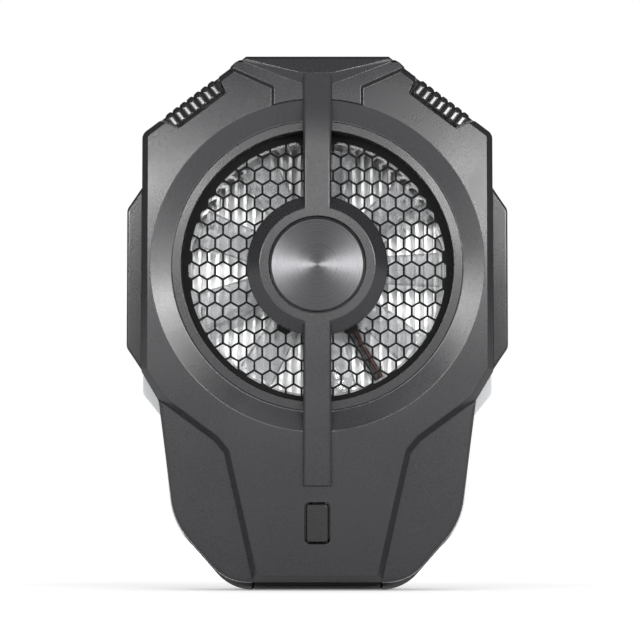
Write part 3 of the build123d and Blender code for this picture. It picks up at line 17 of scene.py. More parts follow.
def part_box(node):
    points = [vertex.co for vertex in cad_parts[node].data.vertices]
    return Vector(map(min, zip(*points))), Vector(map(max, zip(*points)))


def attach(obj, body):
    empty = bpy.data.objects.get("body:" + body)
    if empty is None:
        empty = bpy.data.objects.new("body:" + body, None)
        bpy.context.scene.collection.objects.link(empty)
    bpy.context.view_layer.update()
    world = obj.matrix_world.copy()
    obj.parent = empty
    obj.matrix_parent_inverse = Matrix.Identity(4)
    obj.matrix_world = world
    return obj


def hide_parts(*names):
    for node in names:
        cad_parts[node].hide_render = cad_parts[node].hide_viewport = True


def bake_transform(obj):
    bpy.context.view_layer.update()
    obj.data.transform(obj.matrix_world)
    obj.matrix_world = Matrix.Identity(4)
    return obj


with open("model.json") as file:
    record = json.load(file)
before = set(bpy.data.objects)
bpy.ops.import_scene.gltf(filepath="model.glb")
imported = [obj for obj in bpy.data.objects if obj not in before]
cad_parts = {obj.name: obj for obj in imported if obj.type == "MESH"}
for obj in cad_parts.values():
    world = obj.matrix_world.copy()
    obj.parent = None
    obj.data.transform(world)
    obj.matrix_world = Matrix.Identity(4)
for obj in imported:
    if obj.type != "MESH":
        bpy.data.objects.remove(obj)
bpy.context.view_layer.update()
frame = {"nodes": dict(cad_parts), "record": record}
MM = 0.001
MICRON = 0.000001

# %% [markdown]
# Numpy works out whole surfaces at once. A surface here is a grid of points: its rows run along
# one parameter and its columns along the other. One function turns such a grid into a mesh, and
# another merges doubled points, so that poles and seams are closed, and turns the faces outwards.

# %% Grids to meshes
WELD = 0.0001 * MM
SMOOTH_ANGLE = 35


def signed_volume(mesh):
    """Volume of a closed mesh: a sixth of the sum of the triple products of its triangles."""
    mesh.calc_loop_triangles()
    points = np.empty(len(mesh.vertices) * 3)
    mesh.vertices.foreach_get("co", points)
    corners = np.empty(len(mesh.loop_triangles) * 3, dtype=np.int64)
    mesh.loop_triangles.foreach_get("vertices", corners)
    a, b, c = points.reshape(-1, 3)[corners.reshape(-1, 3)].transpose(1, 0, 2)
    return float(np.einsum("ij,ij->i", a, np.cross(b, c)).sum() / 6)


def grid_faces(rows, columns, loop_rows=False, loop_columns=False):
    """Quads between neighbours of a grid; a looped direction joins its last line to its first."""
    index = np.arange(rows * columns).reshape(rows, columns)
    if loop_rows:
        index = np.vstack([index, index[:1]])
    if loop_columns:
        index = np.hstack([index, index[:, :1]])
    quads = np.stack([index[:-1, :-1], index[1:, :-1], index[1:, 1:], index[:-1, 1:]], axis=-1)
    return quads.reshape(-1, 4)


def finished(name, mesh, smooth):
    """Object from a mesh: doubles merged, faces turned outwards and smooth up to an angle."""
    work = bmesh.new()
    work.from_mesh(mesh)
    bmesh.ops.remove_doubles(work, verts=work.verts, dist=WELD)
    bmesh.ops.dissolve_degenerate(work, edges=work.edges, dist=WELD)
    work.to_mesh(mesh)
    work.free()
    if signed_volume(mesh) < 0:
        mesh.flip_normals()
    mesh.shade_smooth()
    mesh.set_sharp_from_angle(angle=math.radians(smooth))
    piece = bpy.data.objects.new(name, mesh)
    bpy.context.scene.collection.objects.link(piece)
    print(name, "faces", len(mesh.polygons), "volume mm3", round(signed_volume(mesh) / MM**3, 1))
    return piece


def piece_from_grid(name, grid, loop_rows=False, smooth=SMOOTH_ANGLE):
    """Object from a grid of points whose columns close a ring, and whose rows may do so too."""
    rows, columns = grid.shape[:2]
    faces = grid_faces(rows, columns, loop_rows, loop_columns=True)
    mesh = bpy.data.meshes.new(name)
    mesh.from_pydata(grid.reshape(-1, 3).tolist(), [], faces.tolist())
    return finished(name, mesh, smooth)


def capped(rings):
    """Rings of points closed at both ends: the middle of each end ring becomes a pole."""
    middles = rings[[0, -1]].mean(axis=1, keepdims=True)
    poles = np.repeat(middles, rings.shape[1], axis=1)
    return np.concatenate([poles[:1], rings, poles[1:]])


# %% [markdown]
# Moulded plastic never has knife edges: a tool's corner has a small radius, and that radius
# catches the light. Each moulding here is a merged copy of its CAD node. The CAD's own normals
# tell a true crease from the facets of a curved face, because they agree across a facet's edge
# and differ across a crease. Only creases get a bevel.

# %% Creases of a moulding
MERGE = 0.001 * MM
SHARP_ANGLE = 4.0
ROUNDED_ANGLE = 8.0


def read(collection, field, width=1, kind=np.float32):
    """One field of a Blender collection as an array, with rows of a given width."""
    values = np.empty(len(collection) * width, dtype=kind)
    collection.foreach_get(field, values)
    return values.reshape(-1, width) if width > 1 else values


def merged_copy(source):
    """Copy of a mesh with doubled points merged, and its old corner normals kept beside it."""
    mesh = source.copy()
    layer = mesh.attributes.new("cad_normal", "FLOAT_VECTOR", "CORNER")
    layer.data.foreach_set("vector", read(mesh.corner_normals, "vector", 3).ravel())
    if "custom_normal" in mesh.attributes:
        mesh.attributes.remove(mesh.attributes["custom_normal"])
    work = bmesh.new()
    work.from_mesh(mesh)
    bmesh.ops.remove_doubles(work, verts=work.verts, dist=MERGE)
    work.to_mesh(mesh)
    work.free()
    return mesh


def crease_angles(mesh):
    """Edges that join two faces, and the widest angle between the kept normals across each."""
    edge = read(mesh.loops, "edge_index", kind=np.int32)
    first = read(mesh.polygons, "loop_start", kind=np.int32)
    count = read(mesh.polygons, "loop_total", kind=np.int32)
    following = np.arange(len(edge)) + 1
    following[first + count - 1] = first
    normal = read(mesh.attributes["cad_normal"].data, "vector", 3)
    shared = np.bincount(edge, minlength=len(mesh.edges)) == 2
    loops = np.flatnonzero(shared[edge])
    one, other = loops[np.argsort(edge[loops], kind="stable")].reshape(-1, 2).T
    near = np.einsum("ij,ij->i", normal[one], normal[following[other]])
    far = np.einsum("ij,ij->i", normal[following[one]], normal[other])
    return edge[one], np.degrees(np.arccos(np.clip(np.minimum(near, far), -1, 1)))


def mark_creases(mesh):
    """Marks creases over the sharp angle as sharp, and gives those over the rounded angle weight."""
    edges, angles = crease_angles(mesh)
    hard = np.ones(len(mesh.edges), dtype=bool)
    hard[edges] = angles > SHARP_ANGLE
    weight = np.zeros(len(mesh.edges), dtype=np.float32)
    weight[edges] = angles > ROUNDED_ANGLE
    if "sharp_edge" not in mesh.attributes:
        mesh.attributes.new("sharp_edge", "BOOLEAN", "EDGE")
    mesh.attributes["sharp_edge"].data.foreach_set("value", hard)
    mesh.attributes.new("bevel_weight_edge", "FLOAT", "EDGE").data.foreach_set("value", weight)


print("creases are sharp over", SHARP_ANGLE, "degrees and rounded over", ROUNDED_ANGLE)

# %% [markdown]
# The bevel is Blender's modifier, applied to the copy. Old faces keep the CAD's normals, and the
# new ones take theirs from the old faces beside them, so a plate stays flat up to its rounded edge.
# A bevel can throw a point out where short edges meet. So each point's distance from the CAD
# surface is measured: the creases round one that strays stay hard, and the bevel runs again.

# %% Softened copies of the mouldings
FLAT_ANGLE = 0.3
SEGMENTS = 2
ATTEMPTS = 4
LEAST_SUM = 0.1


def kept_normals(mesh):
    """Corner normals: the CAD's on old faces, and those of the touching old faces on new ones."""
    point = read(mesh.loops, "vertex_index", kind=np.int32)
    count = read(mesh.polygons, "loop_total", kind=np.int32)
    new = np.repeat(read(mesh.polygons, "material_index", kind=np.int32) == 1, count)
    normal = read(mesh.attributes["cad_normal"].data, "vector", 3)
    total = np.zeros((len(mesh.vertices), 3))
    np.add.at(total, point[~new], normal[~new])
    size = np.linalg.norm(total, axis=1, keepdims=True)
    own = read(mesh.vertex_normals, "vector", 3)
    joined = np.where(size > LEAST_SUM, total / np.maximum(size, LEAST_SUM), own)
    return np.where(new[:, None], joined[point], normal)


def search_tree(source):
    """Search tree of a mesh's faces, which finds the nearest place on them."""
    corners = [list(face.vertices) for face in source.polygons]
    return BVHTree.FromPolygons(read(source.vertices, "co", 3).tolist(), corners)


def strayed(mesh, tree, reach):
    """Numbers of the points that lie further than a reach from the old surface."""
    away = np.array([tree.find_nearest(vertex.co)[3] > reach for vertex in mesh.vertices])
    return np.flatnonzero(away)


def bevelled(mesh, name, width):
    """Mesh with its weighted edges rounded, and the new faces set apart by their material."""
    piece = bpy.data.objects.new(name, mesh)
    bpy.context.scene.collection.objects.link(piece)
    bevel = piece.modifiers.new("rounded edges", "BEVEL")
    bevel.width = width
    bevel.segments = SEGMENTS
    bevel.limit_method = "WEIGHT"
    bevel.use_clamp_overlap = False
    bevel.miter_outer = "MITER_ARC"
    bevel.material = 1
    view = bpy.context.evaluated_depsgraph_get()
    applied = bpy.data.meshes.new_from_object(piece.evaluated_get(view))
    bpy.data.objects.remove(piece)
    return applied


def softened(node, name, width):
    """Merged copy of a CAD node whose true creases are rounded by a bevel of a given width. The
    points that still stray after the last attempt are laid on the CAD surface."""
    source = frame["nodes"][node].data
    mesh = merged_copy(source)
    mark_creases(mesh)
    work = bmesh.new()
    work.from_mesh(mesh)
    bmesh.ops.dissolve_limit(
        work,
        angle_limit=math.radians(FLAT_ANGLE),
        verts=work.verts,
        edges=work.edges,
        delimit={"SHARP"},
    )
    work.to_mesh(mesh)
    work.free()
    mesh.materials.clear()
    mesh.materials.append(None)
    mesh.materials.append(None)
    origin = mesh.attributes.new("origin", "INT", "POINT")
    origin.data.foreach_set("value", np.arange(len(mesh.vertices), dtype=np.int32))
    ends = read(mesh.edges, "vertices", 2, np.int32)
    weight = read(mesh.attributes["bevel_weight_edge"].data, "value")
    tree = search_tree(source)
    for attempt in range(ATTEMPTS):
        applied = bevelled(mesh, name, width)
        bad = strayed(applied, tree, width)
        print(name, "attempt", attempt, "points that strayed", len(bad))
        if not len(bad):
            break
        old = read(applied.attributes["origin"].data, "value", kind=np.int32)[bad]
        weight[np.isin(ends, old).any(axis=1)] = 0.0
        mesh.attributes["bevel_weight_edge"].data.foreach_set("value", weight)
    for number in bad:
        applied.vertices[number].co = tree.find_nearest(applied.vertices[number].co)[0]
    applied.name = name
    applied.shade_smooth()
    applied.normals_split_custom_set(kept_normals(applied).tolist())
    applied.polygons.foreach_set("material_index", np.zeros(len(applied.polygons), dtype=np.int32))
    for label in ("cad_normal", "origin"):
        applied.attributes.remove(applied.attributes[label])
    piece = bpy.data.objects.new(name, applied)
    bpy.context.scene.collection.objects.link(piece)
    print(name, "faces", len(applied.polygons))
    return piece


print("a bevel has", SEGMENTS, "segments and", ATTEMPTS, "attempts")

# %% [markdown]
# Shader groups hold the effects that several finishes share. The first gives the fine speckle of
# spark-eroded moulding tools, the second a slow drift over the whole piece, and the third the
# long scratches of brushed or extruded metal. Each puts out masks and heights only.

# %% Shared shader groups
NOISE_SPREAD = {"From_Min": 0.3, "From_Max": 0.7}


def new_group(name, inputs, outputs):
    """Empty shader group with float and vector inputs and float outputs."""
    group = bpy.data.node_groups.new(name, "ShaderNodeTree")
    for label, kind, value in inputs:
        socket = group.interface.new_socket(label, in_out="INPUT", socket_type=kind)
        if value is not None:
            socket.default_value = value
    for label in outputs:
        group.interface.new_socket(label, in_out="OUTPUT", socket_type="NodeSocketFloat")
    return group, group.nodes.new("NodeGroupInput"), group.nodes.new("NodeGroupOutput")


def add(tree, kind, links=(), **values):
    """Node of a kind with its properties, its socket values and its incoming links."""
    node = tree.nodes.new(kind)
    for key, value in values.items():
        if hasattr(node, key):
            setattr(node, key, value)
        else:
            node.inputs[key.replace("_", " ")].default_value = value
    for socket, source in links:
        tree.links.new(source, node.inputs[socket])
    return node


def maths(tree, operation, *terms):
    """Maths node on links or plain numbers; returns its output."""
    node = tree.nodes.new("ShaderNodeMath")
    node.operation = operation
    for socket, term in zip(node.inputs, terms):
        if isinstance(term, float):
            socket.default_value = term
        else:
            tree.links.new(term, socket)
    return node.outputs[0]


def speckle_group():
    """Speckle: fine noise as a height, and the same noise spread to a mask."""
    group, given, out = new_group(
        "moulded speckle",
        [("Vector", "NodeSocketVector", None), ("Grains per metre", "NodeSocketFloat", 5000.0)],
        ["Mask", "Height"],
    )
    links = [("Vector", given.outputs[0]), ("Scale", given.outputs[1])]
    fine = add(group, "ShaderNodeTexNoise", links, Detail=2.0, Roughness=0.6)
    spread = add(group, "ShaderNodeMapRange", [("Value", fine.outputs[0])], **NOISE_SPREAD)
    group.links.new(spread.outputs[0], out.inputs["Mask"])
    group.links.new(fine.outputs[0], out.inputs["Height"])
    return group


def drift_group():
    """Drift: one slow noise."""
    group, given, out = new_group(
        "slow drift",
        [("Vector", "NodeSocketVector", None), ("Patches per metre", "NodeSocketFloat", 40.0)],
        ["Mask"],
    )
    links = [("Vector", given.outputs[0]), ("Scale", given.outputs[1])]
    slow = add(group, "ShaderNodeTexNoise", links, Detail=3.0, Roughness=0.55)
    group.links.new(slow.outputs[0], out.inputs["Mask"])
    return group


def lines_group():
    """Lines: noise stretched many times along one axis, for brushed and extruded metal."""
    group, given, out = new_group(
        "drawn lines",
        [
            ("Vector", "NodeSocketVector", None),
            ("Stretch", "NodeSocketVector", (1.0, 1.0, 0.03)),
            ("Lines per metre", "NodeSocketFloat", 6000.0),
        ],
        ["Mask"],
    )
    stretched = add(group, "ShaderNodeVectorMath", operation="MULTIPLY")
    group.links.new(given.outputs[0], stretched.inputs[0])
    group.links.new(given.outputs[1], stretched.inputs[1])
    links = [("Vector", stretched.outputs[0]), ("Scale", given.outputs[2])]
    noise = add(group, "ShaderNodeTexNoise", links, Detail=2.0, Roughness=0.5)
    group.links.new(noise.outputs[0], out.inputs["Mask"])
    return group


SPECKLE = speckle_group()
DRIFT = drift_group()
LINES = lines_group()
print("shader groups", [group.name for group in bpy.data.node_groups])

# %% [markdown]
# Most finishes differ only in numbers: two close colours that the speckle mixes, a roughness that
# drifts a little, and the depth of the grain. One function builds such a finish, and a table
# gives each its numbers.

# %% Plain finishes
ROUGH_DRIFT = 0.04
GRAIN_PATCHES = 60.0


def shader(name):
    """New node material; returns it with its tree, its Principled node and object coordinates."""
    material = bpy.data.materials.new(name)
    material.use_nodes = True
    tree = material.node_tree
    surface = next(node for node in tree.nodes if node.type == "BSDF_PRINCIPLED")
    place = tree.nodes.new("ShaderNodeTexCoord").outputs["Object"]
    return material, tree, surface, place


def use_group(tree, group, place, **values):
    """Group node on a vector, with its values set."""
    node = tree.nodes.new("ShaderNodeGroup")
    node.node_tree = group
    tree.links.new(place, node.inputs["Vector"])
    for key, value in values.items():
        node.inputs[key.replace("_", " ")].default_value = value
    return node


def two_colours(tree, surface, mask, dark, light):
    """Base colour between two colours, by a mask."""
    mix = tree.nodes.new("ShaderNodeMix")
    mix.data_type = "RGBA"
    mix.inputs["A"].default_value = (*dark, 1.0)
    mix.inputs["B"].default_value = (*light, 1.0)
    tree.links.new(mask, mix.inputs["Factor"])
    tree.links.new(mix.outputs["Result"], surface.inputs["Base Color"])
    return mix


def drifting_roughness(tree, surface, mask, low, high):
    """Roughness that follows a slow mask between two values."""
    spread = add(tree, "ShaderNodeMapRange", [("Value", mask)], **NOISE_SPREAD)
    spread.inputs["To Min"].default_value = low
    spread.inputs["To Max"].default_value = high
    tree.links.new(spread.outputs[0], surface.inputs["Roughness"])


def bumped(tree, surface, height, depth):
    """Bump of a given depth in metres from a height mask."""
    bump = tree.nodes.new("ShaderNodeBump")
    bump.inputs["Strength"].default_value = 1.0
    bump.inputs["Distance"].default_value = depth
    tree.links.new(height, bump.inputs["Height"])
    tree.links.new(bump.outputs[0], surface.inputs["Normal"])


def grained(name, dark, light, rough, grains, microns, metallic, level):
    """Finish with a fine speckle in colour and height and a slow drift in roughness."""
    material, tree, surface, place = shader(name)
    speckle = use_group(tree, SPECKLE, place, Grains_per_metre=grains)
    drift = use_group(tree, DRIFT, place, Patches_per_metre=GRAIN_PATCHES)
    two_colours(tree, surface, speckle.outputs["Mask"], dark, light)
    low, high = rough - ROUGH_DRIFT, rough + ROUGH_DRIFT
    drifting_roughness(tree, surface, drift.outputs["Mask"], low, high)
    bumped(tree, surface, speckle.outputs["Height"], microns * MICRON)
    surface.inputs["Metallic"].default_value = metallic
    surface.inputs["Specular IOR Level"].default_value = level
    return material


# Dark colour, light colour, roughness, grains per metre, microns of grain, metallic, gloss level.
GRAINED = {
    "shell_plastic": (
        (0.0115, 0.0110, 0.0125), (0.0205, 0.0198, 0.0222), 0.26, 4200.0, 4.0, 0.0, 0.5
    ),
    "grip_plastic": ((0.010, 0.010, 0.011), (0.015, 0.015, 0.016), 0.16, 3000.0, 1.0, 0.0, 0.5),
    "black_plastic": ((0.010, 0.010, 0.011), (0.018, 0.018, 0.019), 0.5, 5000.0, 8.0, 0.0, 0.4),
    "black_net": ((0.003, 0.003, 0.003), (0.005, 0.005, 0.005), 0.6, 3000.0, 3.0, 0.0, 0.12),
    "plate_aluminium": ((0.60, 0.60, 0.61), (0.72, 0.72, 0.73), 0.42, 6000.0, 6.0, 1.0, 0.5),
    "steel": ((0.50, 0.50, 0.50), (0.62, 0.61, 0.60), 0.33, 4000.0, 3.0, 1.0, 0.5),
    "magnet": ((0.06, 0.06, 0.06), (0.11, 0.11, 0.11), 0.55, 5000.0, 8.0, 0.4, 0.5),
    "core_steel": ((0.30, 0.30, 0.31), (0.42, 0.42, 0.43), 0.42, 5000.0, 5.0, 1.0, 0.5),
    "copper": ((0.55, 0.20, 0.09), (0.72, 0.33, 0.17), 0.33, 4000.0, 4.0, 1.0, 0.5),
    "board_green": ((0.010, 0.075, 0.035), (0.018, 0.11, 0.05), 0.33, 2500.0, 4.0, 0.0, 0.5),
    "ceramic": ((0.78, 0.78, 0.75), (0.88, 0.88, 0.86), 0.55, 5000.0, 4.0, 0.0, 0.4),
    "pellet": ((0.22, 0.22, 0.24), (0.34, 0.34, 0.36), 0.5, 5000.0, 4.0, 0.9, 0.5),
    "foam": ((0.015, 0.015, 0.016), (0.035, 0.035, 0.037), 0.9, 2500.0, 40.0, 0.0, 0.2),
    "soft_pad": ((0.20, 0.22, 0.25), (0.26, 0.28, 0.31), 0.62, 3500.0, 10.0, 0.0, 0.35),
    "jaw_rubber": ((0.012, 0.012, 0.012), (0.022, 0.022, 0.022), 0.66, 4000.0, 10.0, 0.0, 0.35),
    "red_covering": ((0.040, 0.009, 0.008), (0.060, 0.012, 0.010), 0.42, 3000.0, 3.0, 0.0, 0.5),
    "black_covering": ((0.010, 0.010, 0.010), (0.016, 0.016, 0.016), 0.36, 3000.0, 3.0, 0.0, 0.5),
    "socket_steel": ((0.58, 0.57, 0.55), (0.70, 0.69, 0.66), 0.26, 4000.0, 2.0, 1.0, 0.5),
    "pom": ((0.72, 0.72, 0.68), (0.80, 0.80, 0.77), 0.42, 3500.0, 4.0, 0.0, 0.5),
    "bronze": ((0.36, 0.22, 0.10), (0.50, 0.33, 0.17), 0.42, 5000.0, 6.0, 1.0, 0.5),
    "lamp": ((0.82, 0.78, 0.62), (0.90, 0.87, 0.74), 0.3, 3000.0, 2.0, 0.0, 0.5),
}
FINISH = {name: grained(name, *numbers) for name, numbers in GRAINED.items()}
print("plain finishes", len(FINISH))

# %% [markdown]
# The see-through finishes are set one by one. The fan is clear moulded plastic, which shows the fins
# behind it and glints on its blades. The band between the covers is frosted, so that the lamps inside
# would make it glow evenly. At its foot only a thin pale line of it shows round the front cover, and
# the rest there is painted dark as painted shade: seven straight edges stand for the corner's curve.

# %% Clear and frosted plastic
CLEAR_PATCHES = 250.0
CLEAR_WAVES = 10.0 * MICRON
FROST_GRAINS = 6000.0
FROST_GRAIN = 6.0 * MICRON
# Painted shade: the colour laid on the band's foot outside its thin pale line, dark in place of shade.
FOOT_SHADE_COLOUR = (0.015, 0.015, 0.016)
FOOT_LEVEL = 14.0 * MM
FOOT_LINE = 0.22 * MM
FOOT_EDGES = (
    (0.747, 0.665, 11.75 * MM),
    (0.643, 0.766, 9.33 * MM),
    (0.530, 0.848, 7.00 * MM),
    (0.407, 0.914, 4.70 * MM),
    (0.276, 0.961, 2.50 * MM),
    (0.139, 0.990, 0.40 * MM),
    (0.000, 1.000, -1.50 * MM),
)


def clear_plastic():
    """Clear plastic with a slight milkiness: weak refraction under a glossy coat."""
    material, tree, surface, place = shader("clear_plastic")
    drift = use_group(tree, DRIFT, place, Patches_per_metre=CLEAR_PATCHES)
    two_colours(tree, surface, drift.outputs["Mask"], (0.76, 0.77, 0.78), (0.93, 0.94, 0.95))
    surface.inputs["Transmission Weight"].default_value = 0.78
    surface.inputs["IOR"].default_value = 1.12
    surface.inputs["Coat Weight"].default_value = 1.0
    surface.inputs["Coat Roughness"].default_value = 0.08
    drifting_roughness(tree, surface, drift.outputs["Mask"], 0.05, 0.14)
    bumped(tree, surface, drift.outputs["Mask"], CLEAR_WAVES)
    return material


def painted_over(tree, surface, under, colour, mask):
    """Base colour that a mask turns from an earlier mix to one colour."""
    mix = tree.nodes.new("ShaderNodeMix")
    mix.data_type = "RGBA"
    mix.inputs["B"].default_value = (*colour, 1.0)
    tree.links.new(under.outputs["Result"], mix.inputs["A"])
    tree.links.new(mask, mix.inputs["Factor"])
    tree.links.new(mix.outputs["Result"], surface.inputs["Base Color"])


def frosted_plastic():
    """Frosted plastic, rough and pale grey. It is painted dark as painted shade where z is under the
    foot's level and a |x| - b z - c is over the line's width for one of the corner's edges (a, b, c)."""
    material, tree, surface, place = shader("frosted_plastic")
    speckle = use_group(tree, SPECKLE, place, Grains_per_metre=FROST_GRAINS)
    mask = speckle.outputs["Mask"]
    pale = two_colours(tree, surface, mask, (0.62, 0.64, 0.65), (0.72, 0.74, 0.75))
    parts = add(tree, "ShaderNodeSeparateXYZ", [(0, place)])
    foot = maths(tree, "LESS_THAN", parts.outputs["Z"], FOOT_LEVEL)
    aside = maths(tree, "ABSOLUTE", parts.outputs["X"])
    reach = -1.0
    for across, down, distance in FOOT_EDGES:
        beyond = maths(tree, "MULTIPLY_ADD", aside, across, -distance)
        beyond = maths(tree, "MULTIPLY_ADD", parts.outputs["Z"], -down, beyond)
        reach = maths(tree, "MAXIMUM", beyond, reach)
    outside = maths(tree, "GREATER_THAN", reach, FOOT_LINE)
    # Painted shade over the band's foot, outside the thin pale line.
    painted_over(tree, surface, pale, FOOT_SHADE_COLOUR, maths(tree, "MULTIPLY", foot, outside))
    surface.inputs["Transmission Weight"].default_value = 0.35
    surface.inputs["Roughness"].default_value = 0.42
    surface.inputs["IOR"].default_value = 1.46
    bumped(tree, surface, speckle.outputs["Height"], FROST_GRAIN)
    return material


FINISH["clear_plastic"] = clear_plastic()
FINISH["frosted_plastic"] = frosted_plastic()
print("finishes", len(FINISH))

# %% [markdown]
# The disc in the hub is turned on a lathe. Its face is full of fine rings, and they spread each
# light into a wedge from the centre to the rim. The rings are real here, in the mesh, and the
# shader adds finer ones that follow the distance from the axis, and a gloss stretched round it.

# %% Turned metal
RINGS_PER_METRE = 9000.0
RING_DEPTH = 4.0 * MICRON


def turned_aluminium():
    """Bare metal with concentric lines: noise read along the distance from the fan's axis."""
    material, tree, surface, place = shader("turned_aluminium")
    low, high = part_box("hub_disc")
    centred = add(tree, "ShaderNodeVectorMath", operation="SUBTRACT")
    tree.links.new(place, centred.inputs[0])
    centred.inputs[1].default_value = (low + high) / 2
    flat = add(tree, "ShaderNodeVectorMath", operation="MULTIPLY")
    tree.links.new(centred.outputs[0], flat.inputs[0])
    flat.inputs[1].default_value = (1.0, 0.0, 1.0)
    reach = add(tree, "ShaderNodeVectorMath", operation="LENGTH")
    tree.links.new(flat.outputs[0], reach.inputs[0])
    rings = add(tree, "ShaderNodeTexNoise", noise_dimensions="1D", Detail=2.0)
    rings.inputs["Scale"].default_value = RINGS_PER_METRE
    tree.links.new(reach.outputs["Value"], rings.inputs["W"])
    two_colours(tree, surface, rings.outputs[0], (0.052, 0.052, 0.055), (0.092, 0.092, 0.095))
    surface.inputs["Metallic"].default_value = 1.0
    surface.inputs["Anisotropic"].default_value = 0.74
    surface.inputs["Anisotropic Rotation"].default_value = 0.25
    drifting_roughness(tree, surface, rings.outputs[0], 0.26, 0.36)
    around = add(tree, "ShaderNodeTangent", direction_type="RADIAL", axis="Y")
    tree.links.new(around.outputs[0], surface.inputs["Tangent"])
    bumped(tree, surface, rings.outputs[0], RING_DEPTH)
    return material


FINISH["turned_aluminium"] = turned_aluminium()
print("turned metal has", RINGS_PER_METRE, "rings a metre")

# %% [markdown]
# The heat sink is extruded, so faint lines run up its fins. Through the net of the real object its
# upper part looks dull and its middle bright, so painted shade darkens the fins from the fan's axis up.

# %% Extruded metal
FIN_LINES = 3000.0
FIN_STRETCH = (1.0, 1.0, 0.02)
FIN_LINE_DEPTH = 3.0 * MICRON
FIN_SHADE_COLOUR = (0.16, 0.16, 0.165)
FIN_SHADE_START = 62.0 * MM
FIN_SHADE_FULL = 82.0 * MM
FIN_SHADE_SHARE = 0.75


def fin_aluminium():
    """Bright metal with lines along the fins; painted shade grows smoothly with z between two heights.
    """
    material, tree, surface, place = shader("fin_aluminium")
    lines = use_group(tree, LINES, place, Stretch=FIN_STRETCH, Lines_per_metre=FIN_LINES)
    mask = lines.outputs["Mask"]
    bright = two_colours(tree, surface, mask, (0.74, 0.74, 0.745), (0.90, 0.90, 0.905))
    height = add(tree, "ShaderNodeSeparateXYZ", [(0, place)]).outputs["Z"]
    # Painted shade: the fins darken smoothly with height, in place of the shade at the top of the
    # opening.
    climb = add(tree, "ShaderNodeMapRange", [("Value", height)], interpolation_type="SMOOTHSTEP")
    climb.inputs["From Min"].default_value = FIN_SHADE_START
    climb.inputs["From Max"].default_value = FIN_SHADE_FULL
    climb.inputs["To Max"].default_value = FIN_SHADE_SHARE
    painted_over(tree, surface, bright, FIN_SHADE_COLOUR, climb.outputs[0])
    surface.inputs["Metallic"].default_value = 1.0
    drifting_roughness(tree, surface, mask, 0.30, 0.44)
    bumped(tree, surface, mask, FIN_LINE_DEPTH)
    return material


FINISH["fin_aluminium"] = fin_aluminium()
# The fins' painted shade runs between these two heights.
print("dust from", FIN_SHADE_START, "to", FIN_SHADE_FULL, "metres up")

# %% [markdown]
# The real front plates show a slow gradient from light at the top to dark at the foot, which a
# flat plate can't mirror. A second bump under the grain bends the light as if the front were
# slightly crowned. It falls off from a level and outwards from the middle. The bar over the fan is
# also matt towards its upper end, where it looks darker than the plates beside it.

# %% Crowned fronts
MATT_END = 0.65
CROWN_INPUTS = (
    ("Vector", "NodeSocketVector", None),
    ("Level", "NodeSocketFloat", 78.0 * MM),
    ("Half width", "NodeSocketFloat", 9.0 * MM),
    ("Back", "NodeSocketFloat", -15.0 * MM),
    ("Bend up", "NodeSocketFloat", 1.35),
    ("Bend across", "NodeSocketFloat", 1.4),
    ("Bar half width", "NodeSocketFloat", 2.8 * MM),
    ("Bar level", "NodeSocketFloat", 80.0 * MM),
    ("Bar top", "NodeSocketFloat", 92.0 * MM),
    ("Bar end", "NodeSocketFloat", 97.2 * MM),
)


def crown_group():
    """Crown: height = -(bend up (z - level)^2 + bend across a^2), where a is |x| less the half
    width, not under 0, and 0 behind the front. Matt: from 0 to 1 up the bar, in front only."""
    group, given, out = new_group("crowned front", CROWN_INPUTS, ["Height", "Matt"])
    parts = add(group, "ShaderNodeSeparateXYZ", [(0, given.outputs["Vector"])])
    height = parts.outputs["Z"]
    sideways = maths(group, "ABSOLUTE", parts.outputs["X"])
    front = maths(group, "LESS_THAN", parts.outputs["Y"], given.outputs["Back"])
    above = maths(group, "SUBTRACT", height, given.outputs["Level"])
    up = maths(group, "MULTIPLY", above, above)
    up = maths(group, "MULTIPLY", up, given.outputs["Bend up"])
    aside = maths(group, "SUBTRACT", sideways, given.outputs["Half width"])
    aside = maths(group, "MULTIPLY", maths(group, "MAXIMUM", aside, 0.0), front)
    across = maths(group, "MULTIPLY", aside, aside)
    across = maths(group, "MULTIPLY", across, given.outputs["Bend across"])
    fall = maths(group, "MULTIPLY", maths(group, "ADD", up, across), -1.0)
    group.links.new(fall, out.inputs["Height"])
    on_bar = maths(group, "LESS_THAN", sideways, given.outputs["Bar half width"])
    below_end = maths(group, "LESS_THAN", height, given.outputs["Bar end"])
    on_bar = maths(group, "MULTIPLY", maths(group, "MULTIPLY", on_bar, below_end), front)
    climb = add(group, "ShaderNodeMapRange", [("Value", height)], interpolation_type="SMOOTHSTEP")
    group.links.new(given.outputs["Bar level"], climb.inputs["From Min"])
    group.links.new(given.outputs["Bar top"], climb.inputs["From Max"])
    group.links.new(maths(group, "MULTIPLY", climb.outputs[0], on_bar), out.inputs["Matt"])
    return group


def crowned(material, group):
    """The same finish with the crown's height as a second bump, and its matt end in roughness."""
    tree = material.node_tree
    surface = next(node for node in tree.nodes if node.type == "BSDF_PRINCIPLED")
    grain = surface.inputs["Normal"].links[0].from_node
    place = tree.nodes.new("ShaderNodeTexCoord").outputs["Object"]
    curve = use_group(tree, group, place)
    under = tree.nodes.new("ShaderNodeBump")
    under.inputs["Strength"].default_value = 1.0
    under.inputs["Distance"].default_value = 1.0
    tree.links.new(curve.outputs["Height"], under.inputs["Height"])
    tree.links.new(under.outputs[0], grain.inputs["Normal"])
    matt = maths(tree, "MULTIPLY", curve.outputs["Matt"], MATT_END)
    rough = surface.inputs["Roughness"].links[0].from_socket
    tree.links.new(maths(tree, "ADD", rough, matt), surface.inputs["Roughness"])


CROWN = crown_group()
crowned(FINISH["shell_plastic"], CROWN)
crowned(FINISH["grip_plastic"], CROWN)
print("finishes", sorted(FINISH))

# %% [markdown]
# Every CAD node takes the finish that the record names for it. A piece that replaces a node takes the
# same finish and stands for that node; a dressed piece also rides on the body that carries it.

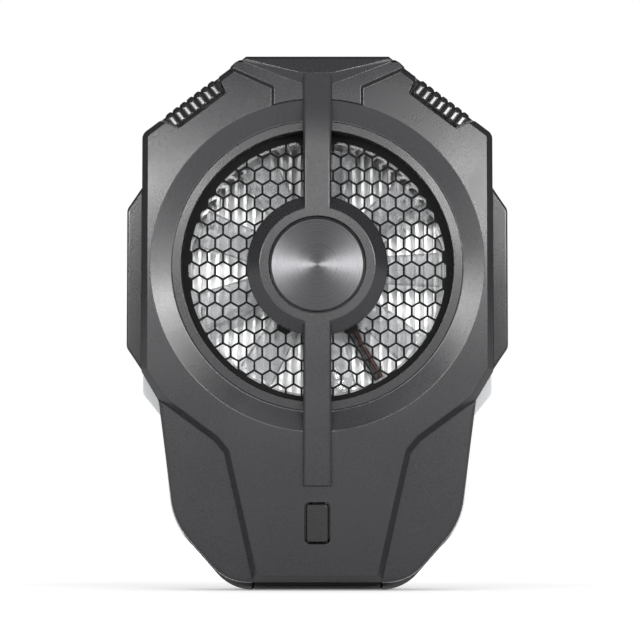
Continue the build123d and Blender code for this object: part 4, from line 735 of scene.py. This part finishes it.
# %% Dress the CAD nodes
SLOT = {part["node"]: part["material_slot"] for part in frame["record"]["subparts"]}
BODY = {
    node: body
    for body, group in frame["record"]["behaviour"]["bodies"].items()
    for node in group
}
for node, thing in frame["nodes"].items():
    thing.data.materials.clear()
    thing.data.materials.append(FINISH[SLOT[node]])


def coated(piece, node):
    """The piece takes a node's finish and stands for it."""
    piece.data.materials.clear()
    piece.data.materials.append(FINISH[SLOT[node]])
    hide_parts(node)
    return piece


def dressed(piece, node):
    """The piece takes a node's finish and place, and rides on the node's body."""
    coated(piece, node)
    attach(piece, BODY[node])
    return piece


print("dressed nodes", len(SLOT), "in slots", len(set(SLOT.values())))

# %% [markdown]
# The mouldings come next. Each has its own width of rounding: wide on the arms, which the hand
# touches, and narrow on the front cover, where short edges meet at the brow, and on the button.

# %% Rounded mouldings
ROUNDING = {
    "front_cover": 0.12 * MM,
    "rear_cover": 0.2 * MM,
    "left_arm": 0.25 * MM,
    "right_arm": 0.25 * MM,
    "light_frame": 0.12 * MM,
    "power_button": 0.1 * MM,
    "port_plate": 0.15 * MM,
    "cold_plate": 0.15 * MM,
}
for node, width in ROUNDING.items():
    dressed(softened(node, node + "_rounded", width), node)

# %% [markdown]
# The turned disc is a surface of revolution: a profile of radius and depth, carried round the
# fan's axis. Its face ripples in fine rings and its rim has a chamfer.

# %% Turned disc
RING_PITCH = 0.3 * MM
RING_SWING = 0.006 * MM
DISC_CHAMFER = 0.3 * MM
FACE_STATIONS = 300
DISC_STEPS = 144


def revolve(name, profile, centre):
    """Surface round the Y axis through a centre: each (radius, y) pair of the profile is turned
    through a full circle, so x = r cos a and z = r sin a."""
    radius, depth = np.asarray(profile).T
    angle = np.linspace(0, 2 * np.pi, DISC_STEPS, endpoint=False)
    x = centre.x + radius[:, None] * np.cos(angle)
    z = centre.z + radius[:, None] * np.sin(angle)
    y = np.repeat(depth[:, None], DISC_STEPS, axis=1)
    return piece_from_grid(name, np.stack([x, y, z], axis=-1))


def turned_disc():
    """Disc with a plain back, whose face is y = front + swing (1 - cos(2 pi r / pitch))."""
    low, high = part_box("hub_disc")
    radius = (high.x - low.x) / 2
    reach = np.linspace(0, radius - DISC_CHAMFER, FACE_STATIONS)
    face = low.y + RING_SWING - RING_SWING * np.cos(2 * np.pi * reach / RING_PITCH)
    profile = list(zip(reach, face))
    profile += [(radius, low.y + DISC_CHAMFER), (radius, high.y), (0.0, high.y)]
    return revolve("turned_disc", profile, (low + high) / 2)


dressed(turned_disc(), "hub_disc")

# %% [markdown]
# The glossy grips sit in pockets of the upper diagonals. Each is one surface: a bent section, which
# runs over the front and down the side, is carried along the diagonal. Ribs swell it outwards. A
# rib's top is nearly flat, so it mirrors a broad bar of light, and its flanks fall to a dark line.

# %% Ribbed grips
GRIP_SHOULDER = (33.2 * MM, 86.2035 * MM)
GRIP_TOP = (13.5456 * MM, 101.0 * MM)
GRIP_SECTION = (
    (3.0 * MM, -15.6 * MM),
    (3.0 * MM, -17.8 * MM),
    (0.8 * MM, -17.8 * MM),
    (0.35 * MM, -17.2 * MM),
    (0.35 * MM, -15.6 * MM),
)
GRIP_LOW = 4.5 * MM
GRIP_HIGH = 17.7 * MM
GRIP_SLANTS = (0.57, 0.29)
GRIP_SOFT = 0.25 * MM
GRIP_ROUND = 73
GRIP_ALONG = 281
RIB_COUNT = 7
RIB_PITCH = 1.65 * MM
RIB_RISE = 0.45 * MM
RIB_LEAN = 0.08


def grip_line():
    """The bent section as even stations, each the mean of its near neighbours so that its corners
    are round, and the outward normal at each."""
    corner = np.array(GRIP_SECTION)
    run = np.linalg.norm(np.diff(corner, axis=0), axis=1)
    reach = np.concatenate([[0.0], np.cumsum(run)])
    station = np.linspace(0.0, reach[-1], GRIP_ROUND)
    near = np.clip(station[:, None] + np.linspace(-GRIP_SOFT, GRIP_SOFT, 9), 0.0, reach[-1])
    line = [np.interp(near, reach, corner[:, axis]).mean(axis=1) for axis in (0, 1)]
    line = np.stack(line, axis=1)
    line[0], line[-1] = corner[0], corner[-1]
    along = np.gradient(line, axis=0)
    along /= np.linalg.norm(along, axis=1, keepdims=True)
    return line, np.stack([-along[:, 1], along[:, 0]], axis=1)


def grip(name, side):
    """Each point is shoulder + up a + into (i + h n_i) in X and Z, and y + h n_y in depth. (i, y)
    runs along the section, n is its normal there, and h = (rise + lean b) (1 - u^4), where b is
    the distance from the rib's middle and u goes from -1 to 1 across it. The length a is clipped
    to the slanted ends of the pocket."""
    foot = np.array(GRIP_SHOULDER)
    up = np.array(GRIP_TOP) - foot
    up = up / np.linalg.norm(up)
    into = np.array([-up[1], up[0]])
    line, normal = grip_line()
    low = GRIP_LOW + GRIP_SLANTS[0] * line[:, 0]
    high = GRIP_HIGH - GRIP_SLANTS[1] * line[:, 0]
    a = np.clip(np.linspace(GRIP_LOW, GRIP_HIGH, GRIP_ALONG)[:, None], low, high)
    step = (a - (GRIP_LOW + GRIP_HIGH) / 2) / RIB_PITCH
    off = step - np.round(step)
    rib = (RIB_RISE + RIB_LEAN * RIB_PITCH * off) * (1 - (2 * off) ** 4)
    rib = np.where(np.abs(step) < RIB_COUNT / 2, rib, 0.0)
    lift = rib * np.clip(1 - normal[:, 0], 0, 1) * (line[:, 1] < line[0, 1])
    inward = line[:, 0] + lift * normal[:, 0]
    depth = line[:, 1] + lift * normal[:, 1]
    x = foot[0] + up[0] * a + into[0] * inward
    z = foot[1] + up[1] * a + into[1] * inward
    return piece_from_grid(name, capped(np.stack([side * x, depth, z], axis=-1)))


dressed(grip("ribbed_grip_left", -1), "left_grip")
dressed(grip("ribbed_grip_right", 1), "right_grip")

# %% [markdown]
# Soft parts come next: a silicone sheet on the cold plate, a ribbed rubber pad in each jaw, and a
# foam frame round the cooling chip. They are moulded or cut, not sewn, so each is a worked-out
# surface with rounded rims, which stays in its CAD solid's space. The sheet has a slight crown
# and slow waves, so its face isn't dead flat in the light.

# %% Silicone sheet
SHEET_CORNER = 2.0 * MM
SHEET_RIM = 0.3 * MM
SHEET_CROWN = 0.1 * MM
SHEET_WAVE = 0.02 * MM
SHEET_WAVE_X = 3.1 * MM
SHEET_WAVE_Z = 2.3 * MM
SHEET_ROUND = 240
SHEET_STATIONS = 40


def rounded_outline(half, corner, count):
    """Points and outward normals round a rectangle with rounded corners, evenly spaced. A corner's
    point is its centre + r (cos t, sin t); the straight runs join the four quarter circles."""
    turn = np.linspace(0, np.pi / 2, 25)
    angle = np.concatenate([turn + quarter * np.pi / 2 for quarter in range(4)])
    away = np.stack([np.cos(angle), np.sin(angle)], axis=1)
    signs = np.repeat([(1, 1), (-1, 1), (-1, -1), (1, -1)], len(turn), axis=0)
    points = signs * (np.array(half) - corner) + corner * away
    points = np.vstack([points, points[:1]])
    away = np.vstack([away, away[:1]])
    run = np.linalg.norm(np.diff(points, axis=0), axis=1)
    reach = np.concatenate([[0.0], np.cumsum(run)])
    even = np.linspace(0.0, reach[-1], count, endpoint=False)
    points = np.stack([np.interp(even, reach, points[:, axis]) for axis in (0, 1)], axis=1)
    away = np.stack([np.interp(even, reach, away[:, axis]) for axis in (0, 1)], axis=1)
    return points, away / np.linalg.norm(away, axis=1, keepdims=True)


def heat_sheet():
    """Silicone sheet: its outline drawn in by the rim's arc, and its face a low crown with waves,
    y = top - crown (1 - (1 - s^2)^2) + wave sin(x / a + 1) cos(z / b), with s from 0 to 1."""
    low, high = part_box("thermal_pad")
    middle = (low + high) / 2
    half = ((high.x - low.x) / 2, (high.z - low.z) / 2)
    outline, away = rounded_outline(half, SHEET_CORNER, SHEET_ROUND)
    share = np.linspace(0, 1, SHEET_STATIONS)[:, None]
    face = share[..., None] * (outline - SHEET_RIM * away)
    top = high.y - SHEET_WAVE - SHEET_CROWN * (1 - (1 - share**2) ** 2)
    waves = np.sin(face[..., 0] / SHEET_WAVE_X + 1.0) * np.cos(face[..., 1] / SHEET_WAVE_Z)
    top = top + SHEET_WAVE * waves
    turn = np.linspace(0, np.pi / 2, 8)[:, None]
    edge = outline - SHEET_RIM * (1 - np.sin(turn))[..., None] * away
    fall = top[-1] - SHEET_RIM * (1 - np.cos(turn))
    back = share[::-1, :, None] * outline
    flat = np.concatenate([face, edge, back])
    y = np.concatenate([top, fall, np.full(back.shape[:2], low.y)])
    grid = np.stack([middle.x + flat[..., 0], y, middle.z + flat[..., 1]], axis=-1)
    return piece_from_grid("heat_sheet", grid, smooth=60)


dressed(heat_sheet(), "thermal_pad")

# %% [markdown]
# The rubber pads in the jaws grip the phone's sides with ribs across their length, as such pads
# do. The pad is one rounded section carried upwards, with the grooves sunk into one face.

# %% Jaw pads
CUSHION_CORNER = 0.4 * MM
CUSHION_RIM = 0.35 * MM
GROOVE_DEPTH = 0.3 * MM
GROOVE_PITCH = 1.68 * MM
CUSHION_ROUND = 72
CUSHION_STATIONS = 240


def jaw_cushion(name, node, side):
    """Rubber pad: a rounded section in X and Y carried up Z. Its face towards the phone sinks by
    groove cos(pi z / pitch)^8 between its ribs, and both ends are drawn in on a quarter circle."""
    low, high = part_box(node)
    middle = (low + high) / 2
    half = ((high.x - low.x) / 2, (high.y - low.y) / 2)
    outline, away = rounded_outline(half, CUSHION_CORNER, CUSHION_ROUND)
    turn = np.linspace(0, np.pi / 2, 7)
    inset = CUSHION_RIM * (1 - np.sin(turn))
    body = np.linspace(low.z + CUSHION_RIM, high.z - CUSHION_RIM, CUSHION_STATIONS)
    z = np.concatenate([low.z + inset[::-1], body, high.z - inset])
    draw = np.concatenate([1 - np.cos(turn[::-1]), np.zeros(len(body)), 1 - np.cos(turn)])
    ring = outline - (CUSHION_RIM * draw)[:, None, None] * away
    sink = GROOVE_DEPTH * np.cos(np.pi * (z - middle.z) / GROOVE_PITCH) ** 8 * (draw == 0)
    facing = np.clip(-side * away[:, 0], 0, 1)
    x = middle.x + ring[..., 0] + side * sink[:, None] * facing
    y = middle.y + ring[..., 1]
    grid = np.stack([x, y, np.repeat(z[:, None], len(outline), axis=1)], axis=-1)
    return piece_from_grid(name, capped(grid), smooth=50)


for name, node, side in (
    ("jaw_cushion_left", "left_jaw_pad", -1),
    ("jaw_cushion_right", "right_jaw_pad", 1),
):
    dressed(jaw_cushion(name, node, side), node)

# %% [markdown]
# The foam frame keeps damp air off the cooling chip's edges. It is cut from sheet and squeezed
# between sink and cold plate, so its sides bulge to a rounded square, and its back is pressed flat
# where the chip's two leads leave it.

# %% Foam frame
CHIP_GAP = 0.1 * MM
LEAD_RADIUS = 0.4 * MM
NOTCH_HALF = 1.3 * MM
NOTCH_SLOPE = 0.3 * MM
PRESSED_FOAM = 0.65 * MM
FOAM_ROUND = 320


def foam_frame():
    """Foam frame: at each station of a square path a section |r|^8 + |d|^8 = 1 lies between the
    chip's side and the outer side. Where the chip's leads leave, its back is pressed down."""
    low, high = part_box("chip_foam")
    chip_low, chip_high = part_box("hot_ceramic")
    middle = (low + high) / 2
    outer = np.array([(high.x - low.x) / 2, (high.z - low.z) / 2])
    chip = np.array([(chip_high.x - chip_low.x) / 2, (chip_high.z - chip_low.z) / 2])
    inner = chip + CHIP_GAP
    path = rounded_outline((1.0, 1.0), 0.02, FOAM_ROUND)[0]
    angle = np.linspace(0, 2 * np.pi, 32, endpoint=False)
    radial = np.sign(np.cos(angle)) * np.abs(np.cos(angle)) ** 0.25
    depth = np.sign(np.sin(angle)) * np.abs(np.sin(angle)) ** 0.25
    reach = inner + (outer - inner) * (radial[:, None] + 1) / 2
    flat = path[:, None, :] * reach
    lead_tops = [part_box(lead)[1].z for lead in ("chip_supply_lead", "chip_return_lead")]
    notch = sum(lead_tops) / 2 - LEAD_RADIUS - middle.z
    inside = np.clip((NOTCH_HALF - np.abs(flat[..., 1] - notch)) / NOTCH_SLOPE, 0, 1)
    inside = inside * (flat[..., 0] > inner[0])
    back = high.y + (low.y + PRESSED_FOAM - high.y) * inside
    y = low.y + (back - low.y) * (depth + 1) / 2
    grid = np.stack([middle.x + flat[..., 0], y, middle.z + flat[..., 1]], axis=-1)
    return piece_from_grid("foam_frame", grid, loop_rows=True, smooth=50)


dressed(foam_frame(), "chip_foam")

# %% [markdown]
# A wound spring draws the arms in. On the real clamp one end stays on its post and the other follows
# the left arm; here the coil is made once, to fill the spring's CAD box, and it rides on no body.

# %% Clamp spring
SPRING_WIRE = 0.15 * MM
SPRING_TURNS = 14
STEPS_A_TURN = 28
WIRE_SIDES = 12


def clamp_coil(low, high):
    """Round wire on a helix along X: centre (x0 + p t, r cos t, r sin t), and round it a circle in
    the plane of the outward radius and the binormal."""
    middle = (low + high) / 2
    radius = (high.z - low.z) / 2 - SPRING_WIRE
    t = np.linspace(0, 2 * np.pi * SPRING_TURNS, SPRING_TURNS * STEPS_A_TURN + 1)
    rise = (high.x - low.x - 2 * SPRING_WIRE) / t[-1]
    y, z = radius * np.cos(t), radius * np.sin(t)
    line = np.stack([low.x + SPRING_WIRE + rise * t, middle.y + y, middle.z + z], axis=1)
    ahead = np.stack([np.full_like(t, rise), -z, y], axis=1)
    ahead /= np.linalg.norm(ahead, axis=1, keepdims=True)
    outward = np.stack([np.zeros_like(t), np.cos(t), np.sin(t)], axis=1)
    beside = np.cross(ahead, outward)
    turn = np.linspace(0, 2 * np.pi, WIRE_SIDES, endpoint=False)[:, None]
    ring = np.cos(turn) * outward[:, None, :] + np.sin(turn) * beside[:, None, :]
    return piece_from_grid("clamp_coil", capped(line[:, None, :] + SPRING_WIRE * ring))


spring_low, spring_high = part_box("clamp_spring")
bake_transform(coated(clamp_coil(spring_low, spring_high), "clamp_spring"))

# %% [markdown]
# The floor and the ground behind are white. The floor is a pale matt sheet that keeps the
# object's soft shadow. The sky is white where the camera or a clear piece looks at it, grey as
# light on matt things, and dim in gloss, so that the lamps alone draw the highlights.

# %% Floor and sky
FLOOR_REACH = 3.0
FLOOR_LINES = 13
FLOOR_DROP = 0.1 * MM
FLOOR_PATCHES = 8.0
GLOW_START = 80.0 * MM
GLOW_FULL = 600.0 * MM
GLOW_LOW = 0.25
GLOW_HIGH = 1.1
DIFFUSE_SKY = 0.8
GLOSS_SKY = 0.07


def seen_rays(tree):
    """One for camera and transmission rays, and zero for all others."""
    path = tree.nodes.new("ShaderNodeLightPath").outputs
    return maths(tree, "MAXIMUM", path["Is Camera Ray"], path["Is Transmission Ray"])


def floor_white():
    """Matt white that also glows for the rays that see it, more with the distance from the object,
    so that it fades into the sky."""
    material, tree, surface, place = shader("floor_white")
    drift = use_group(tree, DRIFT, place, Patches_per_metre=FLOOR_PATCHES)
    two_colours(tree, surface, drift.outputs["Mask"], (0.80, 0.80, 0.80), (0.84, 0.84, 0.84))
    surface.inputs["Roughness"].default_value = 0.9
    surface.inputs["Specular IOR Level"].default_value = 0.1
    surface.inputs["Emission Color"].default_value = (1.0, 1.0, 1.0, 1.0)
    reach = add(tree, "ShaderNodeVectorMath", operation="LENGTH")
    tree.links.new(place, reach.inputs[0])
    far = add(tree, "ShaderNodeMapRange", [("Value", reach.outputs["Value"])])
    far.inputs["From Min"].default_value = GLOW_START
    far.inputs["From Max"].default_value = GLOW_FULL
    far.inputs["To Min"].default_value = GLOW_LOW
    far.inputs["To Max"].default_value = GLOW_HIGH
    glow = maths(tree, "MULTIPLY", seen_rays(tree), far.outputs[0])
    tree.links.new(glow, surface.inputs["Emission Strength"])
    return material


def floor():
    """Large flat grid just under the object's base."""
    across = np.linspace(-FLOOR_REACH, FLOOR_REACH, FLOOR_LINES)
    x, y = np.meshgrid(across, across, indexing="ij")
    grid = np.stack([x, y, np.full_like(x, -FLOOR_DROP)], axis=-1)
    mesh = bpy.data.meshes.new("floor")
    faces = grid_faces(FLOOR_LINES, FLOOR_LINES)
    mesh.from_pydata(grid.reshape(-1, 3).tolist(), [], faces.tolist())
    if mesh.polygons[0].normal.z < 0:
        mesh.flip_normals()
    sheet = bpy.data.objects.new("floor", mesh)
    bpy.context.scene.collection.objects.link(sheet)
    sheet.data.materials.append(floor_white())


def sky():
    """World: white to the camera and through clear pieces, grey as light, dim for gloss."""
    world = bpy.data.worlds.new("studio")
    bpy.context.scene.world = world
    world.use_nodes = True
    tree = world.node_tree
    ground = tree.nodes["Background"]
    path = tree.nodes.new("ShaderNodeLightPath")
    lit = add(tree, "ShaderNodeMix", data_type="FLOAT")
    tree.links.new(path.outputs["Is Glossy Ray"], lit.inputs["Factor"])
    lit.inputs["A"].default_value = DIFFUSE_SKY
    lit.inputs["B"].default_value = GLOSS_SKY
    whole = add(tree, "ShaderNodeMix", data_type="FLOAT")
    tree.links.new(seen_rays(tree), whole.inputs["Factor"])
    tree.links.new(lit.outputs["Result"], whole.inputs["A"])
    whole.inputs["B"].default_value = 1.0
    tree.links.new(whole.outputs["Result"], ground.inputs["Strength"])
    ground.inputs["Color"].default_value = (1.0, 1.0, 1.0, 1.0)


floor()
sky()
print("floor", 2 * FLOOR_REACH, "metres wide")
print("sky", DIFFUSE_SKY, "as light and", GLOSS_SKY, "in gloss")

# %% [markdown]
# The light is that of a product shot. Two wide thin strips stand left and right in front, at the
# height at which the crowned plates mirror them: they grade the plates from light at the top to
# dark at the foot. A dim strip between them keeps the bar dark, and a weak fill lights the floor.

# %% Lamps
MIDDLE = (0.0, 0.0, 0.06)
STRIP_HEIGHT = 185.0 * MM
STRIP_THICKNESS = 100.0 * MM
LAMPS = (
    ("left strip", (-0.5, -0.9, STRIP_HEIGHT), (-0.1, 0.0, 0.06), (0.8, STRIP_THICKNESS), 6.8),
    ("right strip", (0.5, -0.9, STRIP_HEIGHT), (0.1, 0.0, 0.06), (0.8, STRIP_THICKNESS), 9.0),
    ("middle strip", (0.0, -0.9, STRIP_HEIGHT), MIDDLE, (0.2, STRIP_THICKNESS), 0.2),
    ("fill", (0.0, -0.7, 0.75), MIDDLE, (1.0, 0.6), 0.8),
)


def softbox(name, place, target, size, power):
    """Rectangular area lamp at a place, turned to a target."""
    data = bpy.data.lights.new(name, "AREA")
    data.shape = "RECTANGLE"
    data.size, data.size_y = size
    data.energy = power
    lamp = bpy.data.objects.new(name, data)
    bpy.context.scene.collection.objects.link(lamp)
    lamp.location = place
    lamp.rotation_euler = (Vector(target) - Vector(place)).to_track_quat("-Z", "Y").to_euler()
    print("lamp", name, power, "watts")


for lamp in LAMPS:
    softbox(*lamp)

# %% [markdown]
# The camera stands low in front, near the floor's level, as in the photograph, and far enough
# away that the sides hardly show.

# %% Camera
CAMERA_PLACE = (0.0, -560.0 * MM, 10.0 * MM)
CAMERA_AIM = (0.5 * MM, -20.5 * MM, 50.5 * MM)
SENSOR_WIDTH = 36.0
FOCAL_LENGTH = 162.4
NEAREST = 0.01
FURTHEST = 20.0


def camera():
    """Camera at its place, turned to its aim, with a sensor and a lens in millimetres."""
    data = bpy.data.cameras.new("camera")
    eye = bpy.data.objects.new("camera", data)
    bpy.context.scene.collection.objects.link(eye)
    look = Vector(CAMERA_AIM) - Vector(CAMERA_PLACE)
    eye.location = CAMERA_PLACE
    eye.rotation_euler = look.to_track_quat("-Z", "Y").to_euler()
    data.sensor_width = SENSOR_WIDTH
    data.lens = FOCAL_LENGTH
    data.clip_start = NEAREST
    data.clip_end = FURTHEST
    bpy.context.scene.camera = eye
    print("camera", round(look.length, 3), "metres from its aim")


camera()
bpy.context.scene.view_settings.view_transform = "Standard"
